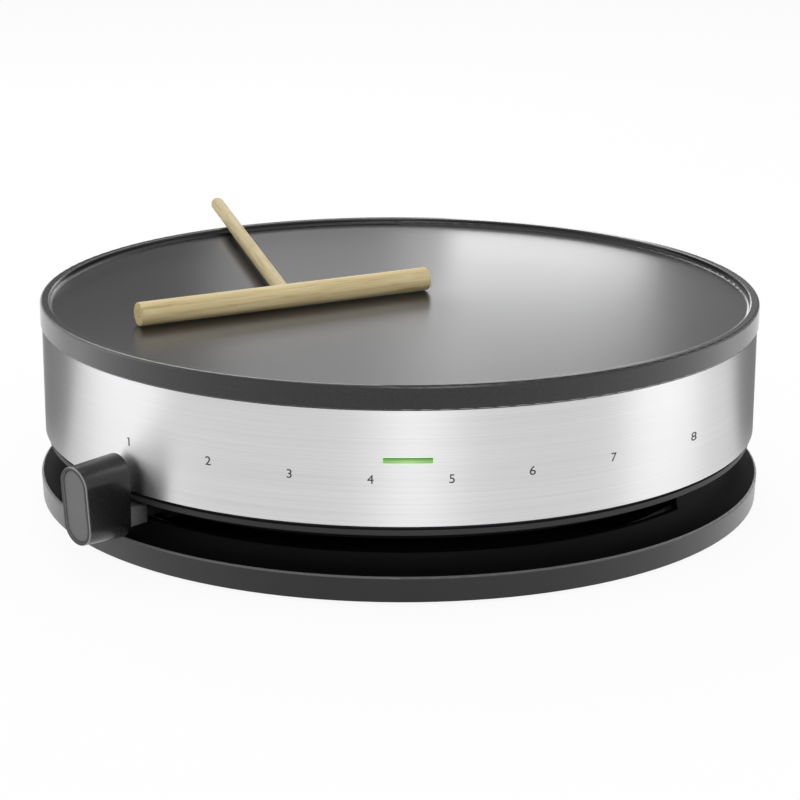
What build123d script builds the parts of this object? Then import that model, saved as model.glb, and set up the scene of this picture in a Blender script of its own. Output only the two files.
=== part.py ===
from build123d import *
from math import cos, degrees, hypot, radians, sin, sqrt
import os

# Electric crepe maker with a slide lever and a wooden batter spreader.
# Millimetres, Z up. The origin is on the drum axis, in the plane that the feet stand on.
# A bearing is an angle about Z, measured from the front (-Y) and positive towards +X.

# Heights, from the feet up
foot_drop = 1.7
base_height = 11.3
groove_height = 16.8
ring_height = 2.6
ring_gap = 2.0
band_height = 50.2
plate_gap = 0.4
rim_height = 10.5
dish_depth = 3.0
plate_thickness = 5.5

# Radii, from the rim inwards and outwards
rim_radius = 169.5
lip_width = 4.5
rim_overhang = 0.7
band_thickness = 0.8
ring_inset = 1.5
ring_gap_depth = 1.8
base_spread = 2.7
base_draft = 0.5
groove_depth = 13.0
cove_radius = 12.0

# Walls and general fits
housing_wall = 2.6
floor_thickness = 3.0
base_wall = 2.5
cover_thickness = 2.0
seat_clearance = 0.3
body_gap = 0.3
running_clearance = 0.05
screw_clearance = 0.2
screw_tip_clearance = 0.5
screw_head_round = 0.6
cut_margin = 1.0

# Edge roundings of the turned and moulded pieces
dish_corner_round = 1.6
lip_inner_round = 0.9
lip_outer_round = 1.2
rim_low_round = 0.5
housing_floor_round = 2.0
ring_low_round = 0.5
ring_high_round = 0.4
deck_round = 0.9
base_low_round = 0.4

# Cooking plate, underside
spigot_clearance = 1.0
spigot_width = 3.0
spigot_depth = 4.0
channel_clearance = 1.0
channel_rib_width = 2.0
channel_rib_height = 5.0
plate_boss_radius = 7.0
plate_boss_height = 9.0
pad_radius = 40.0
pad_thickness = 3.0

# Heating element and its clamps
element_inset = 60.0
element_tube_radius = 4.0
element_flat = 0.6
element_gap = 42.0
element_bend_radius = 9.0
element_leg = 10.0
terminal_radius = 1.6
terminal_length = 9.0
terminal_round = 0.6
insulator_radius = 3.0
insulator_length = 4.0
clamp_count = 3
clamp_reach = 13.0
clamp_width = 11.0
clamp_thickness = 1.4
clamp_boss_radius = 4.5
clamp_screw_radius = 1.5
clamp_screw_head_radius = 2.9
clamp_screw_head_height = 1.8
clamp_screw_bite = 5.0

# Heat shield and the stack that hangs the plate from the housing
shield_thickness = 0.8
shield_inset = 15.0
shield_rim_height = 8.0
shield_rim_flare = 2.0
shield_hole_radius = 46.0
shield_bead_radius = 72.0
shield_bead_height = 2.2
shield_bead_width = 9.0
shield_leg_hole_radius = 7.0
spacer_radius = 5.0
spacer_height = 11.2
stack_inset = 35.0
stack_screw_radius = 2.0
stack_head_radius = 4.0
stack_head_height = 2.6
stack_thread_bite = 7.0
post_radius = 6.5

# Thermostat
bracket_drop = 13.0
bracket_half_span = 26.0
bracket_foot = 11.0
bracket_slope = 4.0
bracket_width = 16.0
bracket_thickness = 1.2
stack_disc_radius = 5.5
stack_disc_offset = 13.0
stack_disc_heights = (4.6, 2.9, 2.5)
leaf_thickness = 0.5
leaf_width = 7.0
leaf_length = 28.0
leaf_tab_length = 15.0
leaf_tab_width = 4.8
contact_radius = 2.0
guide_sleeve_radius = 4.5
guide_sleeve_above = 1.6
guide_sleeve_below = 11.0
guide_flange_radius = 7.0
guide_flange_thickness = 1.5

# Lever: spindle, hub, arm and knob
lever_start_bearing = -45.0
lever_travel = 94.0
spindle_radius = 3.0
spindle_flat = 0.8
spindle_tail = 3.6
spindle_chamfer = 0.5
clip_thickness = 1.0
clip_radius = 6.0
clip_groove_depth = 0.8
clip_mouth = 3.6
bush_radius = 5.0
bush_flange_radius = 8.5
bush_flange_thickness = 1.5
bush_length = 14.0
washer_radius = 9.0
washer_thickness = 0.6
hub_radius = 12.0
arm_height = 9.2
arm_root_width = 19.0
arm_floor = 3.0
arm_web = 2.4
arm_cross_rib_count = 5
arm_rib_width = 1.7
arm_end_inset = 6.0
arm_end_width = 13.0
tongue_width = 8.0
tongue_height = 4.4
tongue_bite = 14.0
track_height_clearance = 0.8
track_side_clearance = 1.4
knob_clearance = 0.8
knob_length = 23.7
knob_width = 17.6
knob_front_height = 35.7
knob_rear_height = 38.2
knob_lift = 1.7
knob_tilt = 4.1
neck_width = 11.0
neck_height = 9.2
neck_gap = 2.6
neck_fillet = 1.2
knob_front_fillet = 0.5
knob_rear_fillet = 0.8
inlay_border = 1.5
inlay_recess = 1.7
inlay_thickness = 1.0
inlay_clearance = 0.1
inlay_fillet = 0.3
knob_screw_radius = 1.6
knob_screw_head_radius = 3.0
knob_screw_head_height = 2.0
knob_screw_length = 12.0
knob_screw_seat = 2.0

# Base screws, feet and gland
pillar_radius = 6.5
pillar_inset = 4.5
pillar_bearings = (78.0, 142.0, -142.0, -78.0)
base_screw_radius = 2.0
base_screw_head_radius = 4.0
base_screw_head_height = 2.4
base_screw_sink = 0.8
base_screw_bite = 11.0
boss_radius = 6.0
boss_floor = 2.0
cup_radius = 7.5
cup_floor = 2.0
cover_lift = 1.0
deck_lap = 8.0
gusset_count = 24
gusset_width = 1.6
gusset_reach = 9.0
foot_circle_inset = 23.0
foot_pad_radius = 9.0
foot_stem_radius = 3.0
foot_barb_radius = 4.2
foot_barb_height = 3.0
foot_chamfer = 0.8
foot_bearings = (45.0, 135.0, -135.0, -45.0)
vent_circles = (52.0, 84.0)
vent_counts = (16, 24)
vent_length = 18.0
vent_width = 3.0
gland_bore_radius = 3.8
gland_body_radius = 5.8
gland_flange_radius = 7.6
gland_flange_thickness = 2.0
gland_flange_round = 0.8
gland_tail = 7.0
gland_nut_across = 15.0
gland_nut_thickness = 3.5
gland_flat_depth = 0.3
gland_pad_wall = 3.2
gland_pad_margin = 3.0

# Housing floor
locator_width = 2.0
locator_depth = 2.5
rib_bearings = (18.0, 68.0, 105.0, 155.0, -155.0, -105.0, -68.0, -18.0)
rib_width = 1.8
rib_height = 8.0
floor_vent_count = 10
floor_vent_radius = 62.0
floor_vent_length = 22.0
floor_vent_width = 5.0
cord_hole_radius = 6.0
cord_hole_inset = 28.0
hub_boss_radius = 9.0

# Indicator
lens_bearing = 1.3
lens_arc_length = 21.4
lens_height = 3.1
lens_lift = 27.3
lens_proud = 0.1
lens_flange = 1.6
lens_flange_thickness = 1.2
lens_clearance = 0.1
holder_wall = 1.4
holder_depth = 11.0
lamp_radius = 2.6
lamp_length = 14.0
lamp_end_round = 2.0

# Terminal block and thermal fuse
block_length = 34.0
block_depth = 15.0
block_height = 13.0
block_inset = 58.0
block_way_count = 3
block_way_pitch = 10.0
block_way_radius = 2.2
block_way_height = 4.6
block_round = 1.5
block_screw_radius = 1.8
block_screw_length = 5.0
block_slot_width = 0.6
block_slot_depth = 1.0
fuse_length = 14.0
fuse_lead_radius = 0.8
fuse_lead_length = 7.0
fuse_sleeve_round = 0.8
fuse_bearing = 100.0
fuse_bead_gap = 2.0
fuse_sleeve_radius = 3.2
fuse_clip_width = 6.0
fuse_clip_thickness = 0.8
fuse_clip_foot = 7.0

# Batter spreader, as it lies across the plate
bar_radius = 5.5
bar_length = 149.6
bar_centre_x = -52.6
bar_centre_y = -25.0
bar_heading = 29.3
bar_end_round = 0.8
handle_radius = 3.5
handle_length = 215.0
handle_heading = 102.8
handle_socket = 3.5
handle_end_round = 2.4
spreader_clearance = 0.2

# Levels that follow from the heights
base_bottom_z = foot_drop
cover_under_z = base_bottom_z + cover_lift
cover_top_z = cover_under_z + cover_thickness
deck_z = base_bottom_z + base_height
deck_under_z = deck_z - base_wall
floor_under_z = deck_z + groove_height
floor_top_z = floor_under_z + floor_thickness
ring_top_z = floor_under_z + ring_height
band_low_z = ring_top_z + ring_gap
band_high_z = band_low_z + band_height
rim_low_z = band_high_z + plate_gap
lip_z = rim_low_z + rim_height
dish_z = lip_z - dish_depth
plate_under_z = dish_z - plate_thickness
pad_under_z = plate_under_z - pad_thickness
plate_boss_low_z = plate_under_z - plate_boss_height
shield_top_z = plate_boss_low_z - spacer_height
shield_under_z = shield_top_z - shield_thickness
element_centre_z = plate_under_z - element_tube_radius + element_flat
element_low_z = element_centre_z - element_tube_radius
clamp_low_z = element_low_z - clamp_thickness
bracket_top_z = pad_under_z - bracket_drop
bracket_low_z = bracket_top_z - bracket_thickness
leaf_low_z = bracket_top_z + stack_disc_heights[0]

# Radii that follow
dish_radius = rim_radius - lip_width
band_radius = rim_radius - rim_overhang
housing_radius = band_radius - band_thickness
housing_inner = housing_radius - housing_wall
ring_radius = band_radius - ring_inset
ring_gap_radius = ring_radius - ring_gap_depth
base_radius = band_radius + base_spread
waist_radius = base_radius - groove_depth
waist_inner = waist_radius - base_wall
cove_foot_radius = waist_radius + cove_radius
pillar_circle = waist_inner - pillar_inset
deck_inner = pillar_circle - deck_lap
cover_radius = base_radius - base_draft - base_wall - seat_clearance
foot_circle = base_radius - foot_circle_inset
spigot_outer = housing_inner - spigot_clearance
spigot_inner = spigot_outer - spigot_width
element_circle = dish_radius - element_inset
stack_circle = housing_inner - stack_inset
shield_radius = housing_inner - shield_inset
cord_hole_circle = housing_inner - cord_hole_inset
fuse_clip_reach = fuse_sleeve_radius + fuse_clip_thickness + fuse_clip_foot
fuse_circle = shield_bead_radius + shield_bead_width / 2 + fuse_bead_gap + fuse_clip_reach
locator_outer = waist_inner - seat_clearance
stack_bearings = (45.0, 135.0, -135.0, -45.0)

# Lever levels: the washer takes up the gap between the hub and the bush flange
bush_flange_low_z = floor_under_z - bush_flange_thickness
washer_top_z = bush_flange_low_z - body_gap
hub_top_z = washer_top_z - washer_thickness
hub_low_z = hub_top_z - arm_height
spindle_low_z = hub_low_z - spindle_tail
spindle_top_z = leaf_low_z - body_gap
arm_end = waist_inner - arm_end_inset
tongue_z = hub_low_z + arm_height / 2
knob_rear_radius = base_radius + knob_clearance
knob_front_radius = knob_rear_radius + knob_length
knob_centre_z = deck_z + knob_lift + knob_front_height / 2
lens_z = band_low_z + lens_lift + lens_height / 2
gland_z = deck_z + groove_height / 2
gland_seat = waist_radius - gland_flat_depth
gland_pad_inner = gland_seat - gland_pad_wall

UP = (Align.CENTER, Align.CENTER, Align.MIN)


def at_bearing(bearing):
    """Turn a piece modelled along +X to a bearing."""
    return Rot(0, 0, bearing - 90)


def spot(radius, bearing):
    """The point at a radius and a bearing."""
    return radius * sin(radians(bearing)), -radius * cos(radians(bearing))


def rod(radius, low, high, place=(0, 0)):
    """An upright cylinder between two levels."""
    return Pos(place[0], place[1], low) * Cylinder(radius, high - low, align=UP)


def tube(outer, inner, low, high, place=(0, 0)):
    """An upright tube between two levels."""
    return rod(outer, low, high, place) - rod(inner, low, high, place)


def section(*points):
    """A closed straight-sided outline."""
    return make_face(Polyline(*points, close=True))


def soften(face, corner, radius):
    """Round the corner of an outline that stands nearest to the given point."""
    near = min(face.vertices(), key=lambda v: hypot(v.X - corner[0], v.Y - corner[1]))
    return fillet(near, radius)


def turned(face, start=0.0, sweep=360.0):
    """Turn an outline of radius and height about the drum axis."""
    return Rot(0, 0, start) * revolve(Plane.XZ * face, Axis.Z, sweep)


def sector(inner, outer, low, high, bearing, half_angle):
    """A block of a ring, centred on a bearing."""
    face = section((inner, low), (outer, low), (outer, high), (inner, high))
    return turned(face, bearing - 90 - half_angle, 2 * half_angle)


def cooking_plate():
    """Cast disc: raised lip outside, spigot, element channel, bosses and pad beneath."""
    face = section(
        (0, plate_under_z),
        (spigot_inner, plate_under_z),
        (spigot_inner, rim_low_z - spigot_depth),
        (spigot_outer, rim_low_z - spigot_depth),
        (spigot_outer, rim_low_z),
        (rim_radius, rim_low_z),
        (rim_radius, lip_z),
        (dish_radius, lip_z),
        (dish_radius, dish_z),
        (0, dish_z),
    )
    face = soften(face, (dish_radius, dish_z), dish_corner_round)
    face = soften(face, (dish_radius, lip_z), lip_inner_round)
    face = soften(face, (rim_radius, lip_z), lip_outer_round)
    face = soften(face, (rim_radius, rim_low_z), rim_low_round)
    plate = turned(face)
    channel_half = element_tube_radius + channel_clearance
    rib_low_z = plate_under_z - channel_rib_height
    inner_rib = element_circle - channel_half
    outer_rib = element_circle + channel_half + channel_rib_width
    plate += tube(inner_rib, inner_rib - channel_rib_width, rib_low_z, plate_under_z)
    plate += tube(outer_rib, outer_rib - channel_rib_width, rib_low_z, plate_under_z)
    plate += rod(pad_radius, pad_under_z, plate_under_z)
    for bearing in stack_bearings:
        place = spot(stack_circle, bearing)
        plate += rod(plate_boss_radius, plate_boss_low_z, plate_under_z, place)
        plate -= rod(stack_screw_radius, plate_boss_low_z, plate_boss_low_z + stack_thread_bite, place)
    for place in clamp_screw_places():
        plate += rod(clamp_boss_radius, element_low_z, plate_under_z, place)
        plate -= rod(clamp_screw_radius, element_low_z, element_low_z + clamp_screw_bite, place)
    for side in (-1, 1):
        place = (side * (bracket_half_span + bracket_foot / 2), 0)
        plate -= rod(clamp_screw_radius, pad_under_z, pad_under_z + clamp_screw_bite, place)
    return plate


def clamp_bearings():
    """Bearings of the element clamps, with the first at the front."""
    return [i * 360.0 / clamp_count for i in range(clamp_count)]


def clamp_screw_places():
    """Both screws of each clamp, inside and outside the element."""
    radii = (element_circle - clamp_reach, element_circle + clamp_reach)
    return [spot(radius, bearing) for bearing in clamp_bearings() for radius in radii]


def element_ends():
    """The two ends of the element's ring, at the back: point and outward direction."""
    half = degrees(element_gap / 2 / element_circle)
    ends = []
    for side in (1, -1):
        angle = radians(90 + side * half)
        point = Vector(element_circle * cos(angle), element_circle * sin(angle), element_centre_z)
        ends.append((point, Vector(side * sin(angle), -side * cos(angle), 0)))
    return ends


def element_leg_spots():
    """Where the two legs go down."""
    return [point + way * element_bend_radius for point, way in element_ends()]


def heating_element():
    """Tube bent to a ring, flattened against the plate, with both ends turned down."""
    half = degrees(element_gap / 2 / element_circle)
    ring = Pos(0, 0, element_centre_z) * CenterArc((0, 0), element_circle, 90 + half, 360 - 2 * half)
    runs = []
    for (point, way), foot in zip(element_ends(), element_leg_spots()):
        drop = element_bend_radius * (1 - sqrt(0.5))
        middle = point + way * element_bend_radius * sqrt(0.5) - Vector(0, 0, drop)
        knee = foot - Vector(0, 0, element_bend_radius)
        runs.append((ThreePointArc(point, middle, knee), Line(knee, knee - Vector(0, 0, element_leg))))
    path = Wire([runs[0][1].edge(), runs[0][0].edge(), ring.edge(), runs[1][0].edge(), runs[1][1].edge()])
    start = runs[0][1].edge().position_at(1)
    element = sweep(Plane(origin=start, z_dir=(0, 0, 1)) * Circle(element_tube_radius), path=path)
    reach = 2 * (element_circle + element_tube_radius)
    element -= Pos(0, 0, plate_under_z) * Box(reach, reach, element_tube_radius, align=UP)
    return element


def element_terminals():
    """Ceramic beads in the tube ends, each with its pin."""
    low = element_centre_z - element_bend_radius - element_leg
    pieces = []
    for foot in element_leg_spots():
        place = (foot.X, foot.Y)
        bead = rod(insulator_radius, low - insulator_length, low, place)
        pin = rod(terminal_radius, low - insulator_length - terminal_length, low - insulator_length, place)
        pieces.append(bead + fillet(pin.edges().group_by(Axis.Z)[0], terminal_round))
    return Compound(pieces)


def element_clamps():
    """Round-ended straps under the element, one screw each side of it."""
    strap = SlotOverall(2 * clamp_reach + clamp_width, clamp_width)
    straps = []
    for bearing in clamp_bearings():
        place = at_bearing(bearing) * Pos(element_circle, 0, clamp_low_z)
        strap_solid = place * extrude(strap, clamp_thickness)
        for side in (-1, 1):
            hole = Cylinder(clamp_screw_radius + screw_clearance, clamp_thickness, align=UP)
            strap_solid -= place * Pos(side * clamp_reach, 0, 0) * hole
        straps.append(strap_solid)
    return Compound(straps)


def pan_screw(radius, length, head_radius, head_height):
    """Pan-head screw pointing up, with the underside of its head at zero."""
    face = section(
        (0, -head_height),
        (head_radius, -head_height),
        (head_radius, 0),
        (radius, 0),
        (radius, length),
        (0, length),
    )
    face = soften(face, (head_radius, -head_height), head_height * screw_head_round)
    return turned(face)


def clamp_screws():
    """Short screws of the element clamps and of the thermostat bracket."""
    length = clamp_thickness + clamp_screw_bite - screw_tip_clearance
    clamp_screw = pan_screw(clamp_screw_radius, length, clamp_screw_head_radius, clamp_screw_head_height)
    screws = [Pos(x, y, clamp_low_z) * clamp_screw for x, y in clamp_screw_places()]
    length = bracket_thickness + clamp_screw_bite - screw_tip_clearance
    bracket_screw = pan_screw(clamp_screw_radius, length, clamp_screw_head_radius, clamp_screw_head_height)
    for side in (-1, 1):
        place = side * (bracket_half_span + bracket_foot / 2)
        screws.append(Pos(place, 0, pad_under_z - bracket_thickness) * bracket_screw)
    return Compound(screws)


def heat_shield():
    """Pressed pan: flat floor with a stiffening bead, rim turned up."""
    mid_z = shield_top_z - shield_thickness / 2
    half_bead = shield_bead_width / 2
    line = Polyline(
        (shield_hole_radius, mid_z),
        (shield_bead_radius - half_bead, mid_z),
        (shield_bead_radius - half_bead + shield_bead_height, mid_z + shield_bead_height),
        (shield_bead_radius + half_bead - shield_bead_height, mid_z + shield_bead_height),
        (shield_bead_radius + half_bead, mid_z),
        (shield_radius - shield_rim_flare, mid_z),
        (shield_radius, mid_z + shield_rim_height),
    )
    pan = turned(trace(line, shield_thickness))
    low_z = shield_under_z - cut_margin
    high_z = shield_top_z + cut_margin
    for bearing in stack_bearings:
        pan -= rod(stack_screw_radius + screw_clearance, low_z, high_z, spot(stack_circle, bearing))
    for foot in element_leg_spots():
        pan -= rod(shield_leg_hole_radius, low_z, high_z, (foot.X, foot.Y))
    return pan


def plate_spacers():
    """Steel tubes between the heat shield and the plate's bosses."""
    bore = stack_screw_radius + screw_clearance
    return Compound([
        tube(spacer_radius, bore, shield_top_z, plate_boss_low_z, spot(stack_circle, bearing))
        for bearing in stack_bearings
    ])


def plate_screws():
    """Long screws that draw the plate down onto shield, posts and housing floor."""
    seat_z = floor_under_z + stack_head_height
    length = plate_boss_low_z + stack_thread_bite - screw_tip_clearance - seat_z
    screw = pan_screw(stack_screw_radius, length, stack_head_radius, stack_head_height - screw_clearance)
    return Compound([Pos(*spot(stack_circle, bearing), seat_z) * screw for bearing in stack_bearings])


def thermostat_bracket():
    """Steel strip bent to a hat and screwed to the plate's pad."""
    foot_z = pad_under_z - bracket_thickness / 2
    low_z = bracket_top_z - bracket_thickness / 2
    inner = bracket_half_span - bracket_slope
    line = Polyline(
        (-bracket_half_span - bracket_foot, foot_z),
        (-bracket_half_span, foot_z),
        (-inner, low_z),
        (inner, low_z),
        (bracket_half_span, foot_z),
        (bracket_half_span + bracket_foot, foot_z),
    )
    strip = extrude(Plane.XZ * trace(line, bracket_thickness), bracket_width / 2, both=True)
    strip -= rod(guide_sleeve_radius, bracket_low_z - cut_margin, bracket_top_z + cut_margin)
    for side in (-1, 1):
        place = (side * (bracket_half_span + bracket_foot / 2), 0)
        strip -= rod(clamp_screw_radius + screw_clearance, low_z, pad_under_z, place)
    return strip


def thermostat_guide():
    """Brass sleeve in the bracket that the spindle turns in."""
    bore = spindle_radius + running_clearance
    low_z = bracket_low_z - guide_sleeve_below
    high_z = bracket_top_z + guide_sleeve_above
    flange_low_z = bracket_low_z - guide_flange_thickness
    sleeve = rod(guide_sleeve_radius, low_z, high_z) + rod(guide_flange_radius, flange_low_z, bracket_low_z)
    return sleeve - rod(bore, low_z, high_z)


def thermostat_stack():
    """Ceramic discs that clamp and part the contact leaves."""
    discs = []
    low_z = bracket_top_z
    for height in stack_disc_heights:
        discs.append(rod(stack_disc_radius, low_z, low_z + height, (stack_disc_offset, 0)))
        low_z += height + leaf_thickness
    return Compound(discs)


def contact_leaves():
    """Two springy leaves, each with a contact at its free end and a tab at its side."""
    leaves = []
    low_z = bracket_top_z
    for height, tab_side in zip(stack_disc_heights, (1, -1)):
        low_z += height
        strip = SlotOverall(leaf_length, leaf_width)
        centre_x = stack_disc_offset + leaf_width / 2 - leaf_length / 2
        tab = Rectangle(leaf_tab_width, leaf_tab_length, align=(Align.CENTER, Align.MIN))
        tab = Rot(0, 0, 90 - 90 * tab_side) * tab
        outline = Pos(centre_x, 0) * strip + Pos(stack_disc_offset, 0) * tab
        leaf = Pos(0, 0, low_z) * extrude(outline, leaf_thickness)
        contact_x = centre_x - leaf_length / 2 + leaf_width / 2
        contact_low_z = low_z + leaf_thickness if tab_side > 0 else low_z - leaf_thickness
        leaf += rod(contact_radius, contact_low_z, contact_low_z + leaf_thickness, (contact_x, 0))
        leaves.append(leaf)
        low_z += leaf_thickness
    return Compound(leaves)


def upper_housing():
    """Moulded drum: floor, lower ring, wall behind the band, posts, bosses and ribs."""
    face = section(
        (bush_radius, floor_under_z),
        (ring_radius, floor_under_z),
        (ring_radius, ring_top_z),
        (ring_gap_radius, ring_top_z),
        (ring_gap_radius, band_low_z),
        (housing_radius, band_low_z),
        (housing_radius, band_high_z),
        (housing_inner, band_high_z),
        (housing_inner, floor_top_z),
        (bush_radius, floor_top_z),
    )
    face = soften(face, (housing_inner, floor_top_z), housing_floor_round)
    face = soften(face, (ring_radius, floor_under_z), ring_low_round)
    face = soften(face, (ring_radius, ring_top_z), ring_high_round)
    shell = turned(face)
    shell += tube(hub_boss_radius, bush_radius, floor_top_z, floor_under_z + bush_length)
    shell += locating_ring()
    for bearing in stack_bearings:
        place = spot(stack_circle, bearing)
        shell += rod(post_radius, floor_top_z, shield_under_z, place)
        shell -= rod(stack_screw_radius + screw_clearance, floor_under_z, shield_under_z, place)
        head_top_z = floor_under_z + stack_head_height
        shell -= rod(stack_head_radius + screw_clearance, floor_under_z, head_top_z, place)
    for bearing in pillar_bearings:
        place = spot(pillar_circle, bearing)
        hole_top_z = floor_under_z + base_screw_bite
        shell += rod(boss_radius, floor_top_z, hole_top_z + boss_floor, place)
        shell -= rod(base_screw_radius, floor_under_z, hole_top_z, place)
    rib_inner = stack_circle - post_radius
    for bearing in rib_bearings:
        rib_length = housing_inner - rib_inner
        rib = Box(rib_length, rib_width, rib_height, align=(Align.MIN, Align.CENTER, Align.MIN))
        shell += at_bearing(bearing) * Pos(rib_inner, 0, floor_top_z) * rib
    shell -= rod(cord_hole_radius, floor_under_z, floor_top_z, spot(cord_hole_circle, 180))
    vent = extrude(SlotOverall(floor_vent_length, floor_vent_width), floor_thickness)
    for i in range(floor_vent_count):
        bearing = i * 360.0 / floor_vent_count
        shell -= at_bearing(bearing) * Pos(floor_vent_radius, 0, floor_under_z) * vent
    return shell - lens_window(housing_inner, housing_radius)


def locating_ring():
    """Rib under the floor that centres the waist, left out at the pillars and the gland."""
    low_z = floor_under_z - locator_depth
    ring = tube(locator_outer, locator_outer - locator_width, low_z, floor_under_z)
    for bearing in pillar_bearings:
        place = spot(pillar_circle, bearing)
        ring -= rod(pillar_radius + seat_clearance, low_z, floor_under_z, place)
    room = 2 * (gland_flange_radius + gland_pad_margin + seat_clearance)
    gap = Box(4 * locator_width, room, locator_depth, align=UP)
    ring -= at_bearing(180) * Pos(locator_outer, 0, low_z) * gap
    return ring


def lever_track():
    """The slot that the lever's tongue sweeps through the waist."""
    half_tongue = degrees((tongue_width / 2 + track_side_clearance) / waist_inner)
    half_angle = lever_travel / 2 + half_tongue
    middle = lever_start_bearing + lever_travel / 2
    low_z = tongue_z - tongue_height / 2 - track_height_clearance
    high_z = tongue_z + tongue_height / 2 + track_height_clearance
    return sector(waist_inner - cut_margin, base_radius, low_z, high_z, middle, half_angle)


def lens_window(inner, outer):
    """The opening for the lens in a round wall."""
    half = lens_height / 2 + lens_clearance
    half_angle = degrees((lens_arc_length / 2 + lens_clearance) / band_radius)
    inner -= cut_margin
    outer += cut_margin
    return sector(inner, outer, lens_z - half, lens_z + half, lens_bearing, half_angle)


def steel_band():
    """Brushed stainless wrap bonded round the housing wall."""
    band = tube(band_radius, housing_radius, band_low_z, band_high_z)
    return band - lens_window(housing_radius, band_radius)


def waist_ring():
    """Concave waist between base and housing: cove, wall, screw pillars and lever track."""
    cove_z = deck_z + cove_radius
    centre = Vector(cove_foot_radius, cove_z)
    inner_arc_radius = cove_radius + base_wall
    inner_foot = cove_foot_radius - sqrt(inner_arc_radius**2 - cove_radius**2)
    outline = Curve() + [
        RadiusArc((cove_foot_radius, deck_z), (waist_radius, cove_z), cove_radius),
        Line((waist_radius, cove_z), (waist_radius, floor_under_z)),
        Line((waist_radius, floor_under_z), (waist_inner, floor_under_z)),
        Line((waist_inner, floor_under_z), (waist_inner, cove_z)),
        RadiusArc((waist_inner, cove_z), (inner_foot, deck_z), -inner_arc_radius),
        Line((inner_foot, deck_z), (cove_foot_radius, deck_z)),
    ]
    ring = turned(make_face(outline))
    for bearing in pillar_bearings:
        place = spot(pillar_circle, bearing)
        ring += rod(pillar_radius, deck_z, floor_under_z, place)
        ring -= rod(base_screw_radius + screw_clearance, deck_z, floor_under_z, place)
    ring -= lever_track()
    pad_width = 2 * (gland_flange_radius + gland_pad_margin)
    pad = Box(gland_pad_wall, pad_width, groove_height, align=(Align.MIN, Align.CENTER, Align.MIN))
    ring += at_bearing(180) * Pos(gland_pad_inner, 0, deck_z) * pad
    recess = Box(groove_depth, pad_width, groove_height, align=(Align.MIN, Align.CENTER, Align.MIN))
    ring -= at_bearing(180) * Pos(gland_seat, 0, deck_z) * recess
    ring -= gland_axis() * Cylinder(gland_body_radius, 4 * gland_pad_wall)
    return ring


def gland_axis():
    """Place at the flat on the back of the waist, with Z pointing out of it."""
    return Plane(origin=(0, gland_seat, gland_z), x_dir=(1, 0, 0), z_dir=(0, 1, 0))


def cord_gland():
    """Flanged bush for the cord, through the back of the waist."""
    face = section(
        (gland_bore_radius, -gland_tail),
        (gland_body_radius, -gland_tail),
        (gland_body_radius, 0),
        (gland_flange_radius, 0),
        (gland_flange_radius, gland_flange_thickness),
        (gland_bore_radius, gland_flange_thickness),
    )
    face = soften(face, (gland_flange_radius, gland_flange_thickness), gland_flange_round)
    return gland_axis() * turned(face)


def gland_nut():
    """Hexagon nut that holds the gland from inside."""
    outline = RegularPolygon(gland_nut_across / 2, 6, major_radius=False) - Circle(gland_body_radius)
    nut = extrude(outline, gland_nut_thickness)
    return gland_axis() * Pos(0, 0, -gland_pad_wall - gland_nut_thickness) * nut


def base_ring():
    """Foot ring of the base: drafted side, deck, bosses and gussets beneath."""
    face = section(
        (base_radius - base_draft, base_bottom_z),
        (base_radius, deck_z),
        (deck_inner, deck_z),
        (deck_inner, deck_under_z),
        (base_radius - base_wall, deck_under_z),
        (base_radius - base_draft - base_wall, base_bottom_z),
    )
    face = soften(face, (base_radius, deck_z), deck_round)
    face = soften(face, (base_radius - base_draft, base_bottom_z), base_low_round)
    ring = turned(face)
    gusset_outer = base_radius - base_draft - base_wall / 2
    for i in range(gusset_count):
        bearing = (i + 0.5) * 360.0 / gusset_count
        gusset_height = deck_under_z - cover_top_z
        gusset = Box(gusset_reach, gusset_width, gusset_height, align=(Align.MAX, Align.CENTER, Align.MIN))
        ring += at_bearing(bearing) * Pos(gusset_outer, 0, cover_top_z) * gusset
    for bearing in pillar_bearings:
        place = spot(pillar_circle, bearing)
        ring += rod(cup_radius, cup_top_z(), deck_under_z, place)
        ring -= rod(base_screw_radius + screw_clearance, cup_top_z(), deck_z, place)
    return ring


def cup_top_z():
    """Top of the cover's screw cups."""
    return cover_under_z + base_screw_sink + base_screw_head_height + cup_floor


def bottom_cover():
    """Flat cover with screw cups, foot holes and vents."""
    cover = rod(cover_radius, cover_under_z, cover_top_z)
    seat_z = cover_under_z + base_screw_sink + base_screw_head_height
    for bearing in pillar_bearings:
        place = spot(pillar_circle, bearing)
        cover += rod(cup_radius, cover_top_z, cup_top_z(), place)
        cover -= rod(base_screw_head_radius + screw_clearance, cover_under_z, seat_z, place)
        cover -= rod(base_screw_radius + screw_clearance, seat_z, cup_top_z(), place)
    for bearing in foot_bearings:
        cover -= rod(foot_stem_radius, cover_under_z, cover_top_z, spot(foot_circle, bearing))
    vent = extrude(SlotOverall(vent_length, vent_width), cover_thickness)
    for radius, count in zip(vent_circles, vent_counts):
        for i in range(count):
            cover -= at_bearing(i * 360.0 / count) * Pos(radius, 0, cover_under_z) * vent
    return cover


def base_screws():
    """Screws from the cover's cups up through base and waist into the housing."""
    seat_z = cover_under_z + base_screw_sink + base_screw_head_height
    length = floor_under_z + base_screw_bite - screw_tip_clearance - seat_z
    screw = pan_screw(base_screw_radius, length, base_screw_head_radius, base_screw_head_height)
    return Compound([Pos(*spot(pillar_circle, bearing), seat_z) * screw for bearing in pillar_bearings])


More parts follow.
